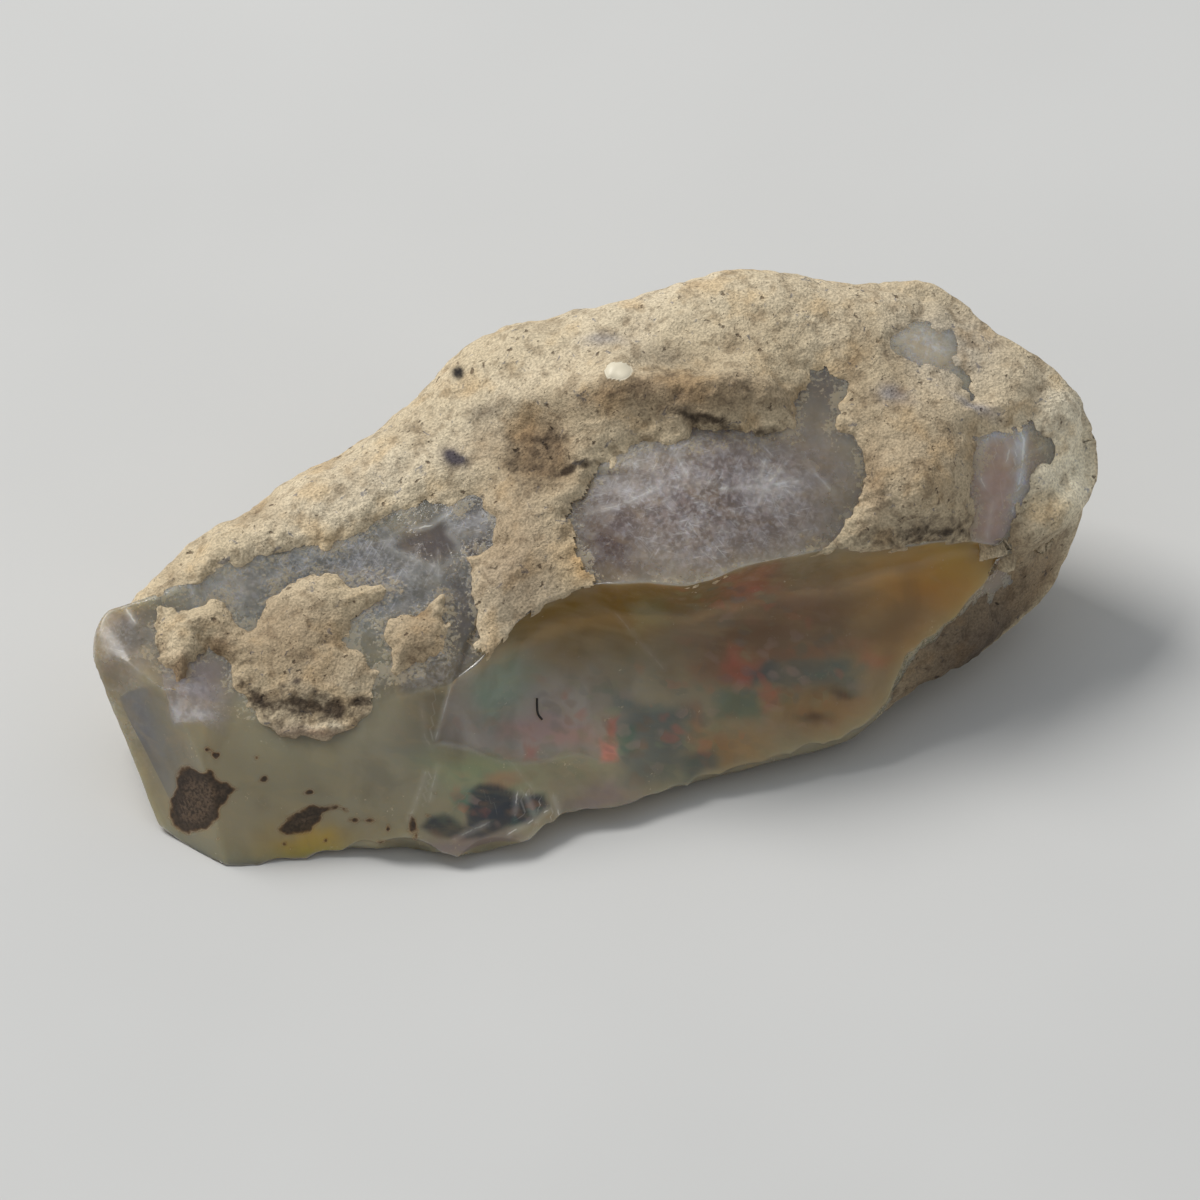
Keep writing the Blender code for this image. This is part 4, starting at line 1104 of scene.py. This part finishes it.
def cells(tree, place, scale):
    """Distance to the middle of the nearest cell, and a random number of that cell."""
    made = node(tree, "ShaderNodeTexVoronoi", {"Vector": place, "Scale": scale})
    parts = node(tree, "ShaderNodeSeparateColor", {0: made.outputs["Color"]})
    return made.outputs["Distance"], parts.outputs[0]


def stirred(tree, place, scale, amount):
    """Coordinates pushed about by noise, so that round cells come out uneven."""
    push = node(tree, "ShaderNodeTexNoise", {"Vector": place, "Scale": scale}).outputs["Color"]
    inputs = {0: push, 1: (amount, amount, amount), 2: place}
    return node(tree, "ShaderNodeVectorMath", inputs, operation="MULTIPLY_ADD").outputs[0]


def ramp(tree, value, colours):
    """One of the given colours, in equal steps as the value goes from 0 to 1."""
    made = node(tree, "ShaderNodeValToRGB", {0: value})
    made.color_ramp.interpolation = "CONSTANT"
    for k, colour in enumerate(colours[1:], 1):
        made.color_ramp.elements.new(k / len(colours)).color = (*colour, 1)
    made.color_ramp.elements[0].color = (*colours[0], 1)
    return made.outputs[0]


def measure(tree, name, output="Fac"):
    return node(tree, "ShaderNodeAttribute", {}, attribute_name=name).outputs[output]


def new_material(name, settings):
    """An empty material, its tree, and its Principled shader with some inputs set."""
    made = bpy.data.materials.new(name)
    made.use_nodes = True
    shader = made.node_tree.nodes["Principled BSDF"]
    for key, value in settings.items():
        shader.inputs[key].default_value = value
    return made, made.node_tree, shader


def feed(tree, shader, sockets):
    for name, socket in sockets.items():
        tree.links.new(socket, shader.inputs[name])


def bumped(tree, height, strength, distance):
    """The normal of a surface roughened by a height."""
    inputs = {"Height": height, "Strength": strength, "Distance": distance * MM}
    return node(tree, "ShaderNodeBump", inputs).outputs[0]


# ---------------------------------------------------------------- the opal's material
def opal_depths(tree, place):
    """Colour below the skin: the tint with layers, clouds and small flashes of other colours."""
    colour = measure(tree, "tint", "Vector")
    bedding = millimetres(tree, turn=(0, 0.35, 0.1), stretch=(0.35, 1.2, 2.4))
    layers = remap(tree, grain(tree, bedding, 1.2, 5, 0.5), 0.45, 0.7, 0, 0.16)
    colour = blend(tree, layers, colour, PALE_LAYER)
    cloud = remap(tree, grain(tree, place, 0.8, 5, 0.6), 0.32, 0.55, 0.22, 0)
    colour = blend(tree, cloud, colour, DARK_CLOUD)
    glints = turned(tree, stirred(tree, place, 2, 0.5), (0.2, 0.5, 0.3), (1, 1.5, 2.2))
    reach, chance = cells(tree, glints, 1.7)
    glow = times(tree, measure(tree, "fire"), remap(tree, reach, 0.62, 0.25, 0, 0.34))
    return blend(tree, glow, colour, ramp(tree, chance, FIRE_COLOURS))


def frosted(tree, place, colour, frost, fog):
    """A colour under worn skin, blotched and whitened in uneven patches."""
    blotches = remap(tree, grain(tree, place, 5, 5, 0.3), 0.4, 0.62, 0.72, 1.12)
    colour = blend(tree, frost, colour, dyed(tree, 1.0, colour, blotches))
    grit = remap(tree, grain(tree, place, 10, 4, 0.2), 0.46, 0.7, 0, 0.4)
    white = plus(tree, remap(tree, fog, 0.42, 0.66, 0, 0.3), grit)
    return blend(tree, times(tree, frost, white), colour, FROST_WHITE)


def felt(tree, frost, fog):
    """Fine hairlike scratches that run in several directions where the skin is worn."""
    sheet = millimetres(tree, turn=(math.pi / 2 - SHEET_TILT, 0, -SHEET_TURN))
    hairs = 0.0
    for angle in HAIR_ANGLES:
        place = turned(tree, sheet, (0, 0, math.radians(angle)), HAIR_STRETCH)
        hairs = most(tree, hairs, remap(tree, grain(tree, place, 1, 2, 0.04), 0.58, 0.8))
    worn = times(tree, remap(tree, frost, 0.15, 0.8, 0, 0.55), remap(tree, fog, 0.4, 0.6, 0.25, 1))
    return times(tree, hairs, worn)


def scratch_and_glint_mask(tree, place, fog):
    """A wavering bright core and a faint border along each of the larger scratches, and along the painted
    glint.
    """
    wobble = times(tree, minus(tree, grain(tree, place, 9, 2), 0.5), 0.05)
    away = maths(tree, "ABSOLUTE", plus(tree, measure(tree, "scratch_and_glint_side"), wobble))
    core = times(tree, remap(tree, away, 0.045, 0.005), remap(tree, fog, 0.38, 0.58, 0, 0.45))
    line = most(tree, core, remap(tree, away, 0.16, 0, 0, 0.2))
    return maths(tree, "MINIMUM", times(tree, line, measure(tree, "scratch_and_glint_here")), 0.9)


def dust_mask(tree, place):
    """Grains of host rock left on the bare opal, more of them near its border."""
    specks = grain(tree, place, 11, 5, 0.1)
    patches = times(tree, grain(tree, place, 1.6, 3), 0.8)
    needed = remap(tree, measure(tree, "bare"), 0, 0.6, 0.82, 1.16)
    return remap(tree, minus(tree, plus(tree, specks, patches), needed), -0.08, 0.2, 0, 0.7)


def rust_mask(tree, place):
    """Where rust stains the opal, and its colour there."""
    rough = minus(tree, grain(tree, place, 3, 6, 0.4), 0.5)
    depth = plus(tree, measure(tree, "stain"), times(tree, rough, 0.3))
    mottle = remap(tree, grain(tree, place, 12, 7, 0.1), 0.34, 0.66)
    worn = times(tree, mottle, remap(tree, depth, -0.15, -0.4, 0.32, 1))
    core = blend(tree, worn, DARK_RUST, WORN_RUST)
    rust = blend(tree, remap(tree, depth, -0.1, 0), core, RUST)
    return remap(tree, depth, 0.04, -0.07, 0, 0.94), rust


def opal_material():
    """Milky see-through opal, less clear where it is frosted, scratched, dusty or stained."""
    made, tree, shader = new_material("precious_opal", OPAL_SETTINGS)
    place = millimetres(tree)
    frost = measure(tree, "frost")
    fog = grain(tree, place, 2.6, 6, 0.3)
    hairs = felt(tree, frost, fog)
    line = scratch_and_glint_mask(tree, place, fog)
    # painted highlight along the rim
    rim_highlight = times(tree, measure(tree, "rim_highlight"), 0.32)
    dust = dust_mask(tree, place)
    stained, rust = rust_mask(tree, place)
    colour = frosted(tree, place, opal_depths(tree, place), frost, fog)
    coats = ((hairs, HAIR_WHITE), (line, LINE_WHITE), (rim_highlight, RIM_HIGHLIGHT_WHITE), (dust, DUST), (stained, rust))
    for amount, over in coats:
        colour = blend(tree, amount, colour, over)
    solid = most(tree, most(tree, stained, dust), most(tree, line, hairs))
    clear = times(tree, minus(tree, 1.0, solid), remap(tree, frost, 0, 0.9, 0.36, 0.25))
    rough = plus(tree, remap(tree, frost, 0, 0.9, 0.12, 0.42), remap(tree, fog, 0.35, 0.65, 0, 0.08))
    rough = most(tree, rough, times(tree, solid, 0.75))
    height = maths(tree, "MULTIPLY_ADD", grain(tree, place, 3.2, 4), 0.6, times(tree, dust, 0.5))
    normal = bumped(tree, height, 0.35, 0.05)
    sockets = {"Base Color": colour, "Transmission Weight": clear, "Roughness": rough, "Normal": normal}
    feed(tree, shader, sockets)
    absorb = node(tree, "ShaderNodeVolumeAbsorption", OPAL_ABSORPTION)
    tree.links.new(absorb.outputs[0], tree.nodes["Material Output"].inputs["Volume"])
    return made


# ---------------------------------------------------------------- the other materials
def pores(tree, place):
    """Round holes and smaller dark dots scattered over the host rock."""
    uneven = stirred(tree, place, 5, 0.35)
    reach, chance = cells(tree, uneven, 3.2)
    hole = times(tree, remap(tree, reach, 0.24, 0.1), remap(tree, chance, 0.72, 0.8))
    reach, chance = cells(tree, uneven, 9)
    dot = times(tree, remap(tree, reach, 0.34, 0.15), remap(tree, chance, 0.72, 0.95))
    return hole, dot


def rock_colour(tree, place, mottle, powder, hole, dot):
    """The tint of the host rock, broken up by grains, flecks and pores, with painted shade in its recesses
    and under its ledges.
    """
    colour = measure(tree, "tint", "Vector")
    broad = remap(tree, grain(tree, place, 0.5, 5, 0.3), 0.4, 0.65)
    colour = dyed(tree, broad, colour, (1.08, 1.09, 1.12))
    warm = remap(tree, grain(tree, place, 0.9, 4, 0.2), 0.5, 0.7, 0, 0.6)
    colour = dyed(tree, warm, colour, (1.0, 0.87, 0.7))
    colour = dyed(tree, remap(tree, mottle, 0.52, 0.32), colour, (0.66, 0.63, 0.6))
    colour = dyed(tree, 1.0, colour, remap(tree, powder, 0.3, 0.7, 0.74, 1.18))
    fleck = remap(tree, grain(tree, place, 4.2, 5, 0.8), 0.36, 0.29, 0, 0.85)
    colour = dyed(tree, fleck, colour, (0.42, 0.46, 0.62))
    colour = dyed(tree, times(tree, dot, 0.7), colour, (0.3, 0.26, 0.24))
    colour = dyed(tree, times(tree, hole, 0.85), colour, (0.22, 0.18, 0.16))
    # painted shade, broken up by noise, where the listed spots lie
    uneven = maths(tree, "MULTIPLY_ADD", grain(tree, place, 5, 6, 0.3), 1.8, -0.9)
    shade_depth = remap(tree, plus(tree, measure(tree, "painted_shade"), uneven), 0.2, 1.4, 0, 0.95)
    return dyed(tree, shade_depth, colour, (0.1, 0.08, 0.07))


def rock_material():
    """Matt, porous and powdery host rock, with smooth beads in it."""
    made, tree, shader = new_material("host_rock", ROCK_SETTINGS)
    place = millimetres(tree)
    mottle = grain(tree, place, 2.6, 5, 0.3)
    powder = grain(tree, place, 16, 3)
    hole, dot = pores(tree, place)
    bead = remap(tree, measure(tree, "bead"), 0.1, 0.4)
    colour = blend(tree, bead, rock_colour(tree, place, mottle, powder, hole, dot), BEAD)
    rough = blend(tree, bead, remap(tree, mottle, 0.3, 0.7, 0.82, 0.96), (0.4, 0.4, 0.4))
    height = plus(tree, times(tree, powder, 0.6), mottle)
    height = plus(tree, height, times(tree, grain(tree, place, 7, 4), 0.9))
    height = minus(tree, height, times(tree, hole, 0.8))
    height = minus(tree, height, times(tree, dot, 0.3))
    height = times(tree, height, minus(tree, 1.0, bead))
    normal = bumped(tree, height, 0.7, 0.09)
    feed(tree, shader, {"Base Color": colour, "Roughness": rough, "Normal": normal})
    return made


def floor_material():
    made, tree, shader = new_material("pale_floor", {"Roughness": 0.9})
    tone = remap(tree, grain(tree, millimetres(tree), 0.05, 3), 0.3, 0.7)
    feed(tree, shader, {"Base Color": blend(tree, tone, *FLOOR_GREYS)})
    return made


def fibre_material():
    made, tree, shader = new_material("dark_fibre", {"Roughness": 0.6})
    tone = grain(tree, millimetres(tree), 12, 2)
    feed(tree, shader, {"Base Color": blend(tree, tone, *FIBRE_SHADES)})
    return made


# ---------------------------------------------------------------- stage
def add_key_light():
    """A square soft light behind and above the left end, aimed at the stone."""
    light = bpy.data.lights.new("key", "AREA")
    light.size = KEY_SIZE
    light.energy = KEY_WATTS
    light.color = KEY_COLOUR
    ob = bpy.data.objects.new("key", light)
    ob.location = Vector(KEY_OFFSET)
    ob.rotation_euler = (-Vector(KEY_OFFSET)).to_track_quat("-Z", "Y").to_euler()
    bpy.context.scene.collection.objects.link(ob)


def add_floor():
    mesh = bpy.data.meshes.new("floor")
    corners = [(-1, -1), (1, -1), (1, 1), (-1, 1)]
    mesh.from_pydata([(x * FLOOR_REACH, y * FLOOR_REACH, 0) for x, y in corners], [], [(0, 1, 2, 3)])
    mesh.materials.append(floor_material())
    floor = bpy.data.objects.new("floor", mesh)
    bpy.context.scene.collection.objects.link(floor)
    floor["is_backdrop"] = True


def add_room():
    """Even light from all round."""
    world = bpy.data.worlds.new("soft_room")
    world.use_nodes = True
    world.node_tree.nodes["Background"].inputs["Color"].default_value = ROOM_COLOUR
    world.node_tree.nodes["Background"].inputs["Strength"].default_value = ROOM_STRENGTH
    bpy.context.scene.world = world
    bpy.context.scene.view_settings.view_transform = "Standard"


def add_camera():
    towards = sheet_rotation() @ Vector((0, -1, 0))
    camera = bpy.data.cameras.new("camera")
    camera.lens = CAMERA_LENS
    camera.sensor_width = CAMERA_SENSOR
    ob = bpy.data.objects.new("camera", camera)
    aim = (Vector(CAMERA_AIM) + towards * CAMERA_RISE) * MM
    ob.location = aim + towards * CAMERA_DISTANCE
    ob.rotation_euler = (-towards).to_track_quat("-Z", "Y").to_euler()
    bpy.context.scene.collection.objects.link(ob)
    bpy.context.scene.camera = ob


def put(piece, finish, slot, *nodes):
    """A piece with its material, riding on the stone in place of its solids."""
    if not piece.data.materials:
        piece.data.materials.append(finish)
    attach(piece, "root")
    if nodes:
        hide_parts(*nodes)


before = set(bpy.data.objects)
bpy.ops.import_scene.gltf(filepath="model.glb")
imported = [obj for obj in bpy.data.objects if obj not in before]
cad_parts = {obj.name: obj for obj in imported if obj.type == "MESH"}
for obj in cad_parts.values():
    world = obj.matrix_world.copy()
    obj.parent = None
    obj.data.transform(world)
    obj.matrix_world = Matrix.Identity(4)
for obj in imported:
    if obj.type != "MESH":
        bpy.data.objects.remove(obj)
cad_low, cad_high = (tuple(corner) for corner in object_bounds())
add_floor()
add_room()
add_key_light()
add_camera()
opal = make_opal()
fibre = make_fibre(opal)
put(opal, opal_material(), "precious_opal", "opal")
put(fibre, fibre_material(), "precious_opal")
rock_finish = rock_material()
for node_name, rock in make_rock().items():
    put(rock, rock_finish, "host_rock", node_name)
